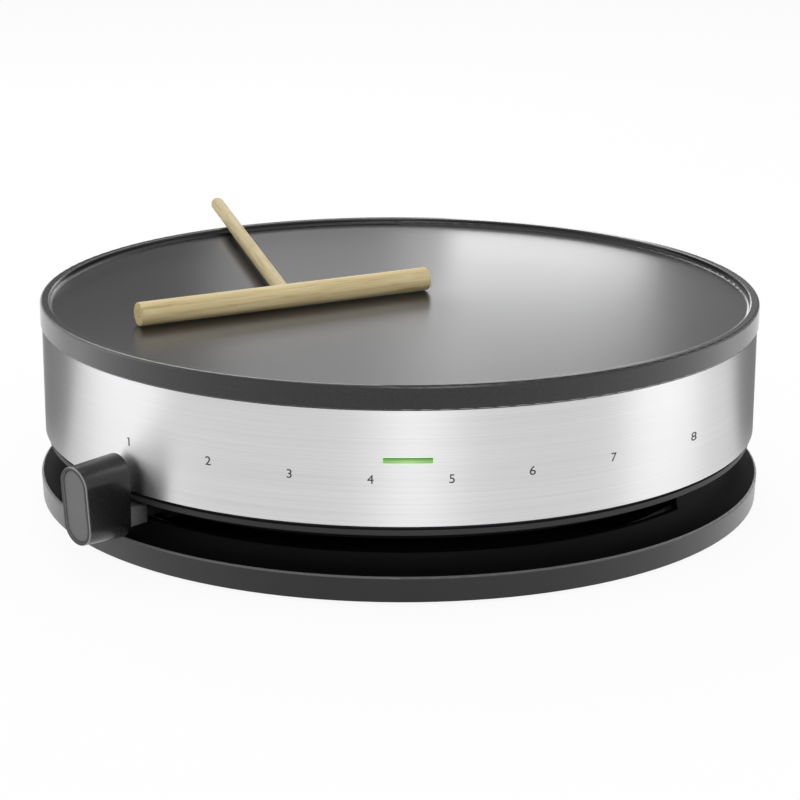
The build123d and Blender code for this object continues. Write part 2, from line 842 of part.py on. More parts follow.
def rubber_foot(bearing):
    """Round foot with a barbed stem pulled through the cover."""
    face = section(
        (0, 0),
        (foot_pad_radius - foot_chamfer, 0),
        (foot_pad_radius, foot_chamfer),
        (foot_pad_radius, cover_under_z),
        (foot_stem_radius, cover_under_z),
        (foot_stem_radius, cover_top_z),
        (foot_barb_radius, cover_top_z),
        (foot_stem_radius, cover_top_z + foot_barb_height),
        (0, cover_top_z + foot_barb_height),
    )
    return Pos(*spot(foot_circle, bearing), 0) * turned(face)


def floor_bush():
    """Flanged bearing of the spindle in the housing floor."""
    top_z = floor_under_z + bush_length
    flange = rod(bush_flange_radius, bush_flange_low_z, floor_under_z)
    bush = rod(bush_radius, floor_under_z, top_z) + flange
    return bush - rod(spindle_radius + running_clearance, bush_flange_low_z, top_z)


def d_section(low, high):
    """Part of the spindle with its flat."""
    flat_side = spindle_radius - spindle_flat
    cut = Pos(flat_side, 0, low) * Box(
        spindle_radius, 2 * spindle_radius, high - low, align=(Align.MIN, Align.CENTER, Align.MIN)
    )
    return rod(spindle_radius, low, high) - cut


def lever_turn():
    """Turn of the lever pieces to their rest bearing."""
    return at_bearing(lever_start_bearing)


def spindle():
    """Steel spindle from the hub up to the thermostat, with a flat and a clip groove."""
    groove_high_z = hub_low_z
    groove_low_z = groove_high_z - clip_thickness
    shaft = d_section(spindle_low_z, hub_top_z) + rod(spindle_radius, hub_top_z, spindle_top_z)
    groove_radius = spindle_radius - clip_groove_depth
    shaft -= tube(spindle_radius + cut_margin, groove_radius, groove_low_z, groove_high_z)
    shaft = chamfer(shaft.edges().group_by(Axis.Z)[-1], spindle_chamfer)
    return lever_turn() * shaft


def spindle_clip():
    """Open retaining clip in the spindle's groove, under the hub."""
    groove_radius = spindle_radius - clip_groove_depth
    outline = Circle(clip_radius) - Circle(groove_radius)
    mouth = Rectangle(2 * clip_radius, clip_mouth, align=(Align.MAX, Align.CENTER))
    outline -= mouth
    return lever_turn() * Pos(0, 0, hub_low_z - clip_thickness) * extrude(outline, clip_thickness)


def hub_washer():
    """Thin washer between the hub and the bush flange."""
    return tube(washer_radius, spindle_radius, hub_top_z, washer_top_z)


def lever_arm():
    """Moulded arm: hub, tapered channel with cross ribs, and the flat tongue for the knob."""
    half_root = arm_root_width / 2
    half_end = arm_end_width / 2
    outline = section((0, -half_root), (arm_end, -half_end), (arm_end, half_end), (0, half_root))
    arm = Pos(0, 0, hub_low_z) * extrude(outline, arm_height)
    pocket_start = hub_radius + arm_web
    pocket_end = arm_end - arm_web
    slope = (half_root - half_end) / arm_end
    near_half = half_root - slope * pocket_start - arm_web
    far_half = half_root - slope * pocket_end - arm_web
    pocket = section(
        (pocket_start, -near_half),
        (pocket_end, -far_half),
        (pocket_end, far_half),
        (pocket_start, near_half),
    )
    arm -= Pos(0, 0, hub_low_z + arm_floor) * extrude(pocket, arm_height)
    for i in range(arm_cross_rib_count):
        x = pocket_start + (pocket_end - pocket_start) * (i + 1) / (arm_cross_rib_count + 1)
        rib_half = half_root - slope * x - arm_web / 2
        rib = Box(arm_rib_width, 2 * rib_half, arm_height - arm_floor, align=UP)
        arm += Pos(x, 0, hub_low_z + arm_floor) * rib
    arm += rod(hub_radius, hub_low_z, hub_top_z)
    arm += Pos(arm_end, 0, tongue_z) * tongue(knob_rear_radius + tongue_bite - arm_end)
    arm -= d_section(hub_low_z, hub_top_z)
    screw_hole = Cylinder(knob_screw_radius, knob_screw_length, align=UP)
    arm -= knob_screw_line() * Pos(0, 0, -knob_screw_length) * screw_hole
    return lever_turn() * arm


def tongue(length):
    """The flat bar that goes through the waist, from its inner end."""
    return Box(length, tongue_width, tongue_height, align=(Align.MIN, Align.CENTER, Align.CENTER))


def knob_face_plane():
    """Plane of the knob's front face, tipped back at the bottom."""
    up = (sin(radians(knob_tilt)), 0, cos(radians(knob_tilt)))
    out = (cos(radians(knob_tilt)), 0, -sin(radians(knob_tilt)))
    return Plane(origin=(knob_front_radius, 0, knob_centre_z), x_dir=up, z_dir=out)


def knob_screw_line():
    """Place on the knob's screw seat, with Z pointing outwards along the lever."""
    seat_x = knob_rear_radius + tongue_bite + knob_screw_seat
    return Plane(origin=(seat_x, 0, tongue_z), x_dir=(0, 1, 0), z_dir=(1, 0, 0))


def lever_knob():
    """Upright grip with rounded ends, recessed for its inlay, with a neck that takes the tongue."""
    rear = Plane(origin=(knob_rear_radius, 0, knob_centre_z), x_dir=(0, 0, 1), z_dir=(1, 0, 0))
    front = knob_face_plane()
    knob = loft([
        rear * SlotOverall(knob_rear_height, knob_width),
        front * SlotOverall(knob_front_height, knob_width),
    ], ruled=True)
    knob = fillet(knob.edges().group_by(Axis.X)[-1], knob_front_fillet)
    knob = fillet(knob.edges().group_by(Axis.X)[0], knob_rear_fillet)
    inset = 2 * inlay_border
    recess = SlotOverall(knob_front_height - inset, knob_width - inset)
    knob -= front * Pos(0, 0, -inlay_recess) * extrude(recess, 2 * inlay_recess)
    neck_start = waist_radius + neck_gap
    neck_length = knob_rear_radius + knob_rear_fillet - neck_start
    neck = Box(neck_length, neck_width, neck_height, align=(Align.MIN, Align.CENTER, Align.CENTER))
    neck = fillet(neck.edges().filter_by(Axis.X), neck_fillet)
    knob += Pos(neck_start, 0, tongue_z) * neck
    knob -= Pos(neck_start, 0, tongue_z) * tongue(knob_rear_radius + tongue_bite - neck_start)
    seat = knob_screw_line()
    knob -= seat * Cylinder(knob_screw_head_radius + screw_clearance, knob_length, align=UP)
    knob -= seat * Cylinder(knob_screw_radius + screw_clearance, 2 * knob_screw_seat)
    return lever_turn() * knob


def knob_inlay():
    """Lighter plate let into the knob's front, over the screw."""
    inset = 2 * (inlay_border + inlay_clearance)
    outline = SlotOverall(knob_front_height - inset, knob_width - inset)
    plate = extrude(outline, inlay_thickness)
    plate = fillet(plate.edges().group_by(Axis.Z)[-1], inlay_fillet)
    plate = knob_face_plane() * Pos(0, 0, -inlay_recess) * plate
    return lever_turn() * plate


def knob_screw():
    """Screw from the inlay's recess into the tongue."""
    screw = pan_screw(knob_screw_radius, knob_screw_length, knob_screw_head_radius, knob_screw_head_height)
    screw = knob_screw_line() * Rot(180, 0, 0) * screw
    return lever_turn() * screw


def indicator_lens():
    """Green light guide: nose in the band's window, flange behind the wall."""
    nose_half = degrees(lens_arc_length / 2 / band_radius)
    flange_half = degrees((lens_arc_length / 2 + lens_flange) / band_radius)
    half = lens_height / 2
    face_radius = band_radius + lens_proud
    nose = sector(housing_inner, face_radius, lens_z - half, lens_z + half, lens_bearing, nose_half)
    reach = half + lens_flange
    flange_inner = housing_inner - lens_flange_thickness
    flange = sector(flange_inner, housing_inner, lens_z - reach, lens_z + reach, lens_bearing, flange_half)
    return nose + flange


def lamp_holder():
    """Open-fronted box on the wall that keeps the lamp behind the lens."""
    half_angle = degrees((lens_arc_length / 2 + lens_flange + holder_wall) / band_radius)
    reach = lens_height / 2 + lens_flange + holder_wall
    inner = housing_inner - holder_depth
    box = sector(inner, housing_inner, lens_z - reach, lens_z + reach, lens_bearing, half_angle)
    room_half = half_angle - degrees(holder_wall / band_radius)
    room_reach = reach - holder_wall
    low_z = lens_z - room_reach
    high_z = lens_z + room_reach
    mouth = housing_inner + cut_margin
    return box - sector(inner + holder_wall, mouth, low_z, high_z, lens_bearing, room_half)


def indicator_lamp():
    """Small round-ended lamp lying across the holder."""
    lamp_circle = housing_inner - holder_depth + holder_wall + lamp_radius
    lamp = Cylinder(lamp_radius, lamp_length, rotation=(90, 0, 0))
    lamp = fillet(lamp.edges(), lamp_end_round)
    return at_bearing(lens_bearing) * Pos(lamp_circle, 0, lens_z) * lamp


def terminal_block():
    """Ceramic block on the floor with a way and a screw hole for each lead."""
    block = Box(block_depth, block_length, block_height, align=UP)
    block = fillet(block.edges().filter_by(Axis.Z), block_round)
    for i in range(block_way_count):
        y = (i - (block_way_count - 1) / 2) * block_way_pitch
        block -= Pos(0, y, block_way_height) * Cylinder(block_way_radius, block_depth, rotation=(0, 90, 0))
        block -= Pos(0, y, block_way_height) * Cylinder(block_screw_radius, block_height, align=UP)
    return block_place() * block


def block_place():
    """Place of the terminal block on the floor, at the back."""
    return at_bearing(180) * Pos(housing_inner - block_inset, 0, floor_top_z)


def block_screws():
    """Brass clamp screws of the terminal block."""
    screws = []
    for i in range(block_way_count):
        y = (i - (block_way_count - 1) / 2) * block_way_pitch
        screw = Cylinder(block_screw_radius, block_screw_length, align=UP)
        slot = Box(2 * block_screw_radius, block_slot_width, block_slot_depth, align=UP)
        screw -= Pos(0, 0, block_screw_length - block_slot_depth) * slot
        screws.append(block_place() * Pos(0, y, block_way_height + block_way_radius) * screw)
    return Compound(screws)


def fuse_place():
    """Place on top of the heat shield, with X along the fuse."""
    return at_bearing(fuse_bearing) * Pos(fuse_circle, 0, shield_top_z) * Rot(0, 0, 90)


def thermal_fuse():
    """One-shot fuse in its glass-fibre sleeve."""
    sleeve = Cylinder(fuse_sleeve_radius, fuse_length, rotation=(0, 90, 0))
    sleeve = fillet(sleeve.edges(), fuse_sleeve_round)
    leads = Cylinder(fuse_lead_radius, fuse_length + 2 * fuse_lead_length, rotation=(0, 90, 0))
    return fuse_place() * Pos(0, 0, fuse_sleeve_radius) * (sleeve + leads)


def fuse_clip():
    """Saddle strap over the fuse, welded to the shield."""
    outer = fuse_sleeve_radius + fuse_clip_thickness
    saddle = Circle(outer) - Circle(fuse_sleeve_radius)
    saddle = Pos(0, fuse_sleeve_radius) * saddle
    cheeks = Rectangle(2 * outer, fuse_sleeve_radius, align=(Align.CENTER, Align.MIN))
    cheeks -= Rectangle(2 * fuse_sleeve_radius, fuse_sleeve_radius, align=(Align.CENTER, Align.MIN))
    below = Pos(0, fuse_sleeve_radius) * Rectangle(2 * outer, 2 * outer, align=(Align.CENTER, Align.MAX))
    feet = Rectangle(2 * fuse_clip_reach, fuse_clip_thickness, align=(Align.CENTER, Align.MIN))
    feet -= Rectangle(2 * fuse_sleeve_radius, fuse_clip_thickness, align=(Align.CENTER, Align.MIN))
    outline = saddle - below + cheeks + feet
    return fuse_place() * extrude(Plane.YZ * outline, fuse_clip_width / 2, both=True)


def bar_centre():
    """Centre of the spreader's bar, just clear of the plate."""
    return Vector(bar_centre_x, bar_centre_y, dish_z + bar_radius + spreader_clearance)


def handle_line():
    """Start and direction of the handle: from the bar, up over the plate's lip."""
    start = bar_centre()
    way_x = cos(radians(handle_heading))
    way_y = sin(radians(handle_heading))
    along = start.X * way_x + start.Y * way_y
    to_lip = -along + sqrt(along**2 + rim_radius**2 - start.X**2 - start.Y**2)
    rise = lip_z + handle_radius + spreader_clearance - start.Z
    return Plane(origin=start, z_dir=(way_x * to_lip, way_y * to_lip, rise))


def spreader_handle():
    """Thin round handle, round-ended, glued into the bar."""
    depth = bar_radius - handle_socket
    handle = Pos(0, 0, depth) * Cylinder(handle_radius, handle_length - depth, align=UP)
    handle = fillet(handle.edges().group_by(Axis.Z)[-1], handle_end_round)
    return handle_line() * handle


def spreader_bar():
    """Round bar with eased ends and a blind hole for the handle."""
    bar = Cylinder(bar_radius, bar_length, rotation=(0, 90, 0))
    bar = fillet(bar.edges().filter_by(GeomType.CIRCLE), bar_end_round)
    centre = bar_centre()
    bar = Pos(centre.X, centre.Y, centre.Z) * Rot(0, 0, bar_heading) * bar
    hole = Pos(0, 0, bar_radius - handle_socket) * Cylinder(handle_radius, 2 * bar_radius, align=UP)
    return bar - handle_line() * hole


pieces = {
    "cooking_plate": cooking_plate(),
    "heating_element": heating_element(),
    "element_terminals": element_terminals(),
    "element_clamps": element_clamps(),
    "clamp_screws": clamp_screws(),
    "heat_shield": heat_shield(),
    "plate_spacers": plate_spacers(),
    "plate_screws": plate_screws(),
    "thermostat_bracket": thermostat_bracket(),
    "thermostat_guide": thermostat_guide(),
    "thermostat_stack": thermostat_stack(),
    "contact_leaves": contact_leaves(),
    "thermal_fuse": thermal_fuse(),
    "fuse_clip": fuse_clip(),
    "upper_housing": upper_housing(),
    "steel_band": steel_band(),
    "indicator_lens": indicator_lens(),
    "lamp_holder": lamp_holder(),
    "indicator_lamp": indicator_lamp(),
    "terminal_block": terminal_block(),
    "block_screws": block_screws(),
    "waist_ring": waist_ring(),
    "cord_gland": cord_gland(),
    "gland_nut": gland_nut(),
    "floor_bush": floor_bush(),
    "base_ring": base_ring(),
    "bottom_cover": bottom_cover(),
    "base_screws": base_screws(),
    "spindle": spindle(),
    "spindle_clip": spindle_clip(),
    "hub_washer": hub_washer(),
    "lever_arm": lever_arm(),
    "lever_knob": lever_knob(),
    "knob_inlay": knob_inlay(),
    "knob_screw": knob_screw(),
    "spreader_bar": spreader_bar(),
    "spreader_handle": spreader_handle(),
}
for number, bearing in enumerate(foot_bearings, 1):
    pieces[f"rubber_foot_{number}"] = rubber_foot(bearing)

os.makedirs("parts", exist_ok=True)
for name, piece in pieces.items():
    export_step(piece, f"parts/{name}.step")
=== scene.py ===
import bpy
from math import cos, pi, radians, sin
from mathutils import Matrix, Vector


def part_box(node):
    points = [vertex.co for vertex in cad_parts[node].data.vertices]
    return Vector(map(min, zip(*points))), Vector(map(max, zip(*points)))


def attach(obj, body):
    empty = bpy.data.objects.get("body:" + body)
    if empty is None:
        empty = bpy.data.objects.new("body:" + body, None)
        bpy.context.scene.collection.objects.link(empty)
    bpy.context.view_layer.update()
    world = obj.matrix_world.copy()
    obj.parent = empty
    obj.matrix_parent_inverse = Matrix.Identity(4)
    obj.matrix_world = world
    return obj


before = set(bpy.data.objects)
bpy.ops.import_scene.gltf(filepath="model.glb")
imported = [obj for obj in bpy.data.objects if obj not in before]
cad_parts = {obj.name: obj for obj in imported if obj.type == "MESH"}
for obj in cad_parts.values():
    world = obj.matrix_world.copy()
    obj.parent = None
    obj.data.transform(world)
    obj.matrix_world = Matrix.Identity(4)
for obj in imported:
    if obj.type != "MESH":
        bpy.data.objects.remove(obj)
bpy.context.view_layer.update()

# Rubber feet
# Four round feet of black synthetic rubber, compression moulded, their barbed stems pulled
# through the cover. The mould leaves a fine dull skin that picks up a little dust.
FOOT_BLACK = "#1d1d1d"
FOOT_DUST = "#33312f"
FOOT_GRAIN = 0.0006
FOOT_GRAIN_DEPTH = 0.00005
DUST_PATCH = 1 / 120


def linear(colour):
    """An sRGB hex colour as linear RGBA."""
    parts = [int(colour[i:i + 2], 16) / 255 for i in (1, 3, 5)]
    return [p / 12.92 if p <= 0.04045 else ((p + 0.055) / 1.055) ** 2.4 for p in parts] + [1.0]


def add(tree, kind, settings=(), links=()):
    """Add one node, set its properties or sockets, and join its inputs to other nodes' outputs."""
    node = tree.nodes.new(kind)
    for key, value in dict(settings).items():
        if isinstance(key, str) and hasattr(node, key):
            setattr(node, key, value)
        else:
            node.inputs[key].default_value = value
    for key, source in dict(links).items():
        tree.links.new(source, node.inputs[key])
    return node


def blank_material(name):
    """A material with an empty node tree."""
    material = bpy.data.materials.new(name)
    material.use_nodes = True
    material.node_tree.nodes.clear()
    return material


def dress(material, *nodes):
    """Give construction nodes their finish."""
    for node in nodes:
        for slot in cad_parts[node].material_slots:
            slot.material = material


def blend_colours(tree, factor, low, high, start=0.0, end=1.0):
    """Colours that run from low to high as the factor goes from start to end."""
    ramp = add(tree, "ShaderNodeValToRGB", {}, {"Fac": factor})
    ramp.color_ramp.elements[0].position = start
    ramp.color_ramp.elements[0].color = linear(low)
    ramp.color_ramp.elements[1].position = end
    ramp.color_ramp.elements[1].color = linear(high)
    return ramp.outputs["Color"]


def moulded_rubber():
    """Synthetic rubber from a mould: near black, dull, with a fine grain."""
    material = blank_material("rubber_moulded")
    tree = material.node_tree
    place = add(tree, "ShaderNodeTexCoord").outputs["Object"]
    grain = add(tree, "ShaderNodeTexNoise", {"Scale": 1 / FOOT_GRAIN, "Detail": 3.0}, {"Vector": place})
    dust = add(tree, "ShaderNodeTexNoise", {"Scale": 1 / DUST_PATCH, "Detail": 2.0}, {"Vector": place})
    colour = blend_colours(tree, dust.outputs["Fac"], FOOT_BLACK, FOOT_DUST, start=0.45, end=0.8)
    bump = add(
        tree,
        "ShaderNodeBump",
        {"Strength": 0.25, "Distance": FOOT_GRAIN_DEPTH},
        {"Height": grain.outputs["Fac"]},
    )
    shader = add(
        tree,
        "ShaderNodeBsdfPrincipled",
        {"Roughness": 0.75, "IOR": 1.52, "Specular IOR Level": 0.35},
        {"Base Color": colour, "Normal": bump.outputs["Normal"]},
    )
    add(tree, "ShaderNodeOutputMaterial", {}, {"Surface": shader.outputs["BSDF"]})
    return material


dress(moulded_rubber(), "rubber_foot_1", "rubber_foot_2", "rubber_foot_3", "rubber_foot_4")

# Base: foot ring, bottom cover and cord gland
# The foot ring is injection-moulded ABS in dark grey, satin, with a painted highlight in pale grey along
# its rounded top edge. The cover and the gland are the same plastic in black with a finely eroded texture.
BASE_GREY = "#19181a"
BASE_GREY_WORN = "#201f21"
# Pale grey painted on the rounded top edge as a highlight.
BASE_EDGE_HIGHLIGHT_PAINT = "#5a595b"
EDGE_ROUND = 0.0009
COVER_BLACK = "#161616"
COVER_BLACK_HIGH = "#1e1e1e"
SATIN_GRAIN = 0.0005
ERODED_GRAIN = 0.0009
SKIN_DEPTH = 0.00004
SKIN_SMOOTHER = 0.04
SKIN_ROUGHER = 0.05
FLOW_LENGTH = 1 / 14

base_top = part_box("base_ring")[1].z


def moulded_plastic(name, low, high, grain, relief, roughness, specular, bloom=0.0):
    """Injection-moulded plastic: faint flow tones, a textured skin and maybe a pale bloom."""
    material = blank_material(name)
    tree = material.node_tree
    place = add(tree, "ShaderNodeTexCoord").outputs["Object"]
    skin = add(tree, "ShaderNodeTexNoise", {"Scale": 1 / grain, "Detail": 4.0}, {"Vector": place})
    flow = add(tree, "ShaderNodeTexNoise", {"Scale": 1 / FLOW_LENGTH, "Detail": 2.0}, {"Vector": place})
    colour = blend_colours(tree, flow.outputs["Fac"], low, high, start=0.35, end=0.7)
    dullness = add(
        tree,
        "ShaderNodeMapRange",
        {"To Min": roughness - SKIN_SMOOTHER, "To Max": roughness + SKIN_ROUGHER},
        {"Value": skin.outputs["Fac"]},
    )
    bump = add(
        tree,
        "ShaderNodeBump",
        {"Strength": relief, "Distance": SKIN_DEPTH},
        {"Height": skin.outputs["Fac"]},
    )
    shader = add(
        tree,
        "ShaderNodeBsdfPrincipled",
        {"IOR": 1.53, "Specular IOR Level": specular, "Sheen Weight": bloom, "Sheen Roughness": 0.45},
        {
            "Base Color": colour,
            "Roughness": dullness.outputs["Result"],
            "Normal": bump.outputs["Normal"],
        },
    )
    add(tree, "ShaderNodeOutputMaterial", {}, {"Surface": shader.outputs["BSDF"]})
    return material


def lay_over(material, mask, colour):
    """Mix a colour over a material's own, fully where the mask is 1."""
    tree = material.node_tree
    base = tree.nodes["Principled BSDF"].inputs["Base Color"]
    over = add(
        tree,
        "ShaderNodeMixRGB",
        {"Color2": linear(colour)},
        {"Fac": mask, "Color1": base.links[0].from_socket},
    )
    tree.links.new(over.outputs["Color"], base)


def rubbed_edge_plastic():
    """The foot ring's plastic, with a painted highlight in pale grey along its rounded top edge."""
    material = moulded_plastic(
        "abs_satin_dark_grey",
        BASE_GREY,
        BASE_GREY_WORN,
        SATIN_GRAIN,
        relief=0.12,
        roughness=0.42,
        specular=0.3,
        bloom=0.6,
    )
    tree = material.node_tree
    place = add(tree, "ShaderNodeTexCoord").outputs["Object"]
    parts = add(tree, "ShaderNodeSeparateXYZ", {}, {"Vector": place})
    edge = add(
        tree,
        "ShaderNodeMapRange",
        {"From Min": base_top - EDGE_ROUND, "From Max": base_top - EDGE_ROUND / 2},
        {"Value": parts.outputs["Z"]},
    )
    # Painted highlight: the rounded top edge is laid over in pale grey.
    lay_over(material, edge.outputs["Result"], BASE_EDGE_HIGHLIGHT_PAINT)
    return material


dress(rubbed_edge_plastic(), "base_ring")
cover_plastic = moulded_plastic(
    "abs_eroded_black",
    COVER_BLACK,
    COVER_BLACK_HIGH,
    ERODED_GRAIN,
    relief=0.35,
    roughness=0.6,
    specular=0.35,
)
dress(cover_plastic, "bottom_cover", "cord_gland", "gland_nut")

# Screws and small steel parts
# Pan-head screws, spacers, brackets, clips and the reflector pan are mild steel, zinc plated, which
# gives a soft bluish grey with faint crystalline patches.
ZINC = "#a9abae"
ZINC_DULL = "#8f9296"
ZINC_PATCH = 1 / 260


def zinc_plate():
    """Zinc-plated steel, softly bright and slightly patchy."""
    material = blank_material("steel_zinc_plated")
    tree = material.node_tree
    place = add(tree, "ShaderNodeTexCoord").outputs["Object"]
    patches = add(tree, "ShaderNodeTexVoronoi", {"Scale": 1 / ZINC_PATCH}, {"Vector": place})
    colour = blend_colours(tree, patches.outputs["Distance"], ZINC, ZINC_DULL, start=0.1, end=0.8)
    shader = add(
        tree,
        "ShaderNodeBsdfPrincipled",
        {"Metallic": 1.0, "Roughness": 0.38},
        {"Base Color": colour},
    )
    add(tree, "ShaderNodeOutputMaterial", {}, {"Surface": shader.outputs["BSDF"]})
    return material


dress(
    zinc_plate(),
    "base_screws",
    "clamp_screws",
    "plate_screws",
    "plate_spacers",
    "element_clamps",
    "heat_shield",
    "thermostat_bracket",
    "fuse_clip",
    "spindle",
    "spindle_clip",
    "hub_washer",
    "knob_screw",
)

# Waist
# The recessed ring between the base and the drum is black ABS, moulded with a concave foot and the
# lever's slot. It is matt, and its black is deepened almost to a void as painted shade for the recess.
WAIST_BLACK_AND_SHADE = "#040405"
WAIST_BLACK_AND_SHADE_HIGH = "#070708"

# Near-void black: the plastic's own black, deepened as painted shade.
waist_plastic = moulded_plastic(
    "abs_matt_black_and_painted_shade",
    WAIST_BLACK_AND_SHADE,
    WAIST_BLACK_AND_SHADE_HIGH,
    SATIN_GRAIN,
    relief=0.2,
    roughness=0.6,
    specular=0.06,
)
dress(waist_plastic, "waist_ring")

# Drum housing
# The drum is one large moulding in heat-resistant dark grey plastic. Only its lower ring shows,
# under the steel band.
HOUSING_GREY = "#242325"
HOUSING_GREY_HIGH = "#2a292b"

housing_plastic = moulded_plastic(
    "pbt_satin_dark_grey",
    HOUSING_GREY,
    HOUSING_GREY_HIGH,
    SATIN_GRAIN,
    relief=0.12,
    roughness=0.45,
    specular=0.3,
)
dress(housing_plastic, "upper_housing")

# Steel band
# A strip of stainless steel 0.8 mm thick, brushed along its length and bonded round the drum. The
# brushing draws fine level hairlines and spreads every reflection up and down. Real hairlines are
# a few hundredths of a millimetre wide; these are drawn wider, so that they show.
STEEL = "#d8d8d9"
STEEL_HAIRLINE = "#d0d0d1"
HAIRLINE_LENGTH = 0.12
HAIRLINE_WIDTH = 0.0003
HAIRLINE_DEPTH = 0.00003
BRUSH_BAND_LENGTH = 0.24
BRUSH_BAND_WIDTH = 0.003
BRUSH_BAND_SHARE = 0.2


def brushed_steel():
    """Stainless steel brushed round the drum."""
    material = blank_material("stainless_brushed")
    tree = material.node_tree
    place = add(tree, "ShaderNodeTexCoord").outputs["Object"]
    fine_way = add(
        tree,
        "ShaderNodeMapping",
        {"Scale": (1 / HAIRLINE_LENGTH, 1 / HAIRLINE_LENGTH, 1 / HAIRLINE_WIDTH)},
        {"Vector": place},
    )
    broad_way = add(
        tree,
        "ShaderNodeMapping",
        {"Scale": (1 / BRUSH_BAND_LENGTH, 1 / BRUSH_BAND_LENGTH, 1 / BRUSH_BAND_WIDTH)},
        {"Vector": place},
    )
    hairlines = add(
        tree,
        "ShaderNodeTexNoise",
        {"Scale": 1.0, "Detail": 3.0},
        {"Vector": fine_way.outputs["Vector"]},
    )
    bands = add(
        tree,
        "ShaderNodeTexNoise",
        {"Scale": 1.0, "Detail": 2.0},
        {"Vector": broad_way.outputs["Vector"]},
    )
    both = add(
        tree,
        "ShaderNodeMath",
        {"operation": "MULTIPLY_ADD", 1: BRUSH_BAND_SHARE},
        {0: bands.outputs["Fac"], 2: hairlines.outputs["Fac"]},
    )
    colour = blend_colours(tree, both.outputs["Value"], STEEL_HAIRLINE, STEEL, start=0.45, end=0.8)
    dullness = add(
        tree,
        "ShaderNodeMapRange",
        {"From Min": 0.4, "From Max": 0.9, "To Min": 0.43, "To Max": 0.37},
        {"Value": both.outputs["Value"]},
    )
    bump = add(
        tree,
        "ShaderNodeBump",
        {"Strength": 0.1, "Distance": HAIRLINE_DEPTH},
        {"Height": hairlines.outputs["Fac"]},
    )
    brushing = add(tree, "ShaderNodeTangent", {"direction_type": "RADIAL", "axis": "Z"})
    shader = add(
        tree,
        "ShaderNodeBsdfPrincipled",
        {"Metallic": 1.0, "Anisotropic": 0.85, "Anisotropic Rotation": 0.25},
        {
            "Base Color": colour,
            "Roughness": dullness.outputs["Result"],
            "Normal": bump.outputs["Normal"],
            "Tangent": brushing.outputs["Tangent"],
        },
    )
    add(tree, "ShaderNodeOutputMaterial", {}, {"Surface": shader.outputs["BSDF"]})
    return material


dress(brushed_steel(), "steel_band")

# Scale figures
# The heat settings 1 to 8 are pad printed on the band in dark grey ink, a few hundredths of a
# millimetre thick, along the lever's travel. The figures stand a little unevenly, and the last is wide.
FIGURE_HEIGHT = 0.0040
FIGURE_BEARINGS = (-43.8, -28.5, -15.7, -4.0, 7.5, 19.3, 32.6, 49.7)
FIGURE_LEVELS = (0.0567, 0.0563, 0.0553, 0.0548, 0.0549, 0.0560, 0.0567, 0.0560)
FIGURE_STRETCH = (1.0, 1.16, 1.1, 1.05, 1.07, 1.18, 1.11, 1.7)
ONE_HEIGHT = 0.0037
ONE_OUTLINE = (
    (-0.02, -0.5),
    (0.18, -0.5),
    (0.18, 0.5),
    (-0.02, 0.5),
    (-0.22, 0.46),
    (-0.22, 0.33),
    (-0.02, 0.36),
)
CAP_SHARE = 0.73
INK_THICKNESS = 0.00004
INK_WELD = INK_THICKNESS / 100
INK = "#141415"
INK_THIN = "#232325"
INK_FILM_GRAIN = 0.0004

band_low, band_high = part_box("steel_band")
band_radius = (band_high.y - band_low.y) / 2


def printing_ink():
    """Pad-printing ink: opaque dark grey, slightly glossy, with an uneven film."""
    material = blank_material("ink_pad_printed")
    tree = material.node_tree
    place = add(tree, "ShaderNodeTexCoord").outputs["Object"]
    film = add(tree, "ShaderNodeTexNoise", {"Scale": 1 / INK_FILM_GRAIN, "Detail": 2.0}, {"Vector": place})
    colour = blend_colours(tree, film.outputs["Fac"], INK, INK_THIN, start=0.4, end=0.9)
    shader = add(tree, "ShaderNodeBsdfPrincipled", {"Roughness": 0.4, "IOR": 1.5}, {"Base Color": colour})
    add(tree, "ShaderNodeOutputMaterial", {}, {"Surface": shader.outputs["BSDF"]})
    return material


def inputs_of(tree, **kinds):
    """Give a geometry tree its named inputs, and return their identifiers by name."""
    tree.interface.new_socket("Geometry", in_out="INPUT", socket_type="NodeSocketGeometry")
    names = {}
    for name, kind in kinds.items():
        socket = tree.interface.new_socket(name, in_out="INPUT", socket_type=f"NodeSocket{kind}")
        names[name] = socket.identifier
    tree.interface.new_socket("Geometry", in_out="OUTPUT", socket_type="NodeSocketGeometry")
    return names


def made_mesh(name, tree, identifiers, values, corners, edges):
    """Run a geometry tree on an outline and keep its result as a plain mesh object at the origin."""
    source = bpy.data.meshes.new(name + "_source")
    source.from_pydata(corners, edges, [])
    holder = bpy.data.objects.new(name + "_source", source)
    bpy.context.scene.collection.objects.link(holder)
    modifier = holder.modifiers.new("form", "NODES")
    modifier.node_group = tree
    for key, value in values.items():
        modifier[identifiers[key]] = value
    bpy.context.view_layer.update()
    result = holder.evaluated_get(bpy.context.evaluated_depsgraph_get())
    mesh = bpy.data.meshes.new_from_object(result)
    holder.modifiers.clear()
    bpy.data.objects.remove(holder)
    mesh.name = name
    piece = bpy.data.objects.new(name, mesh)
    bpy.context.scene.collection.objects.link(piece)
    return piece


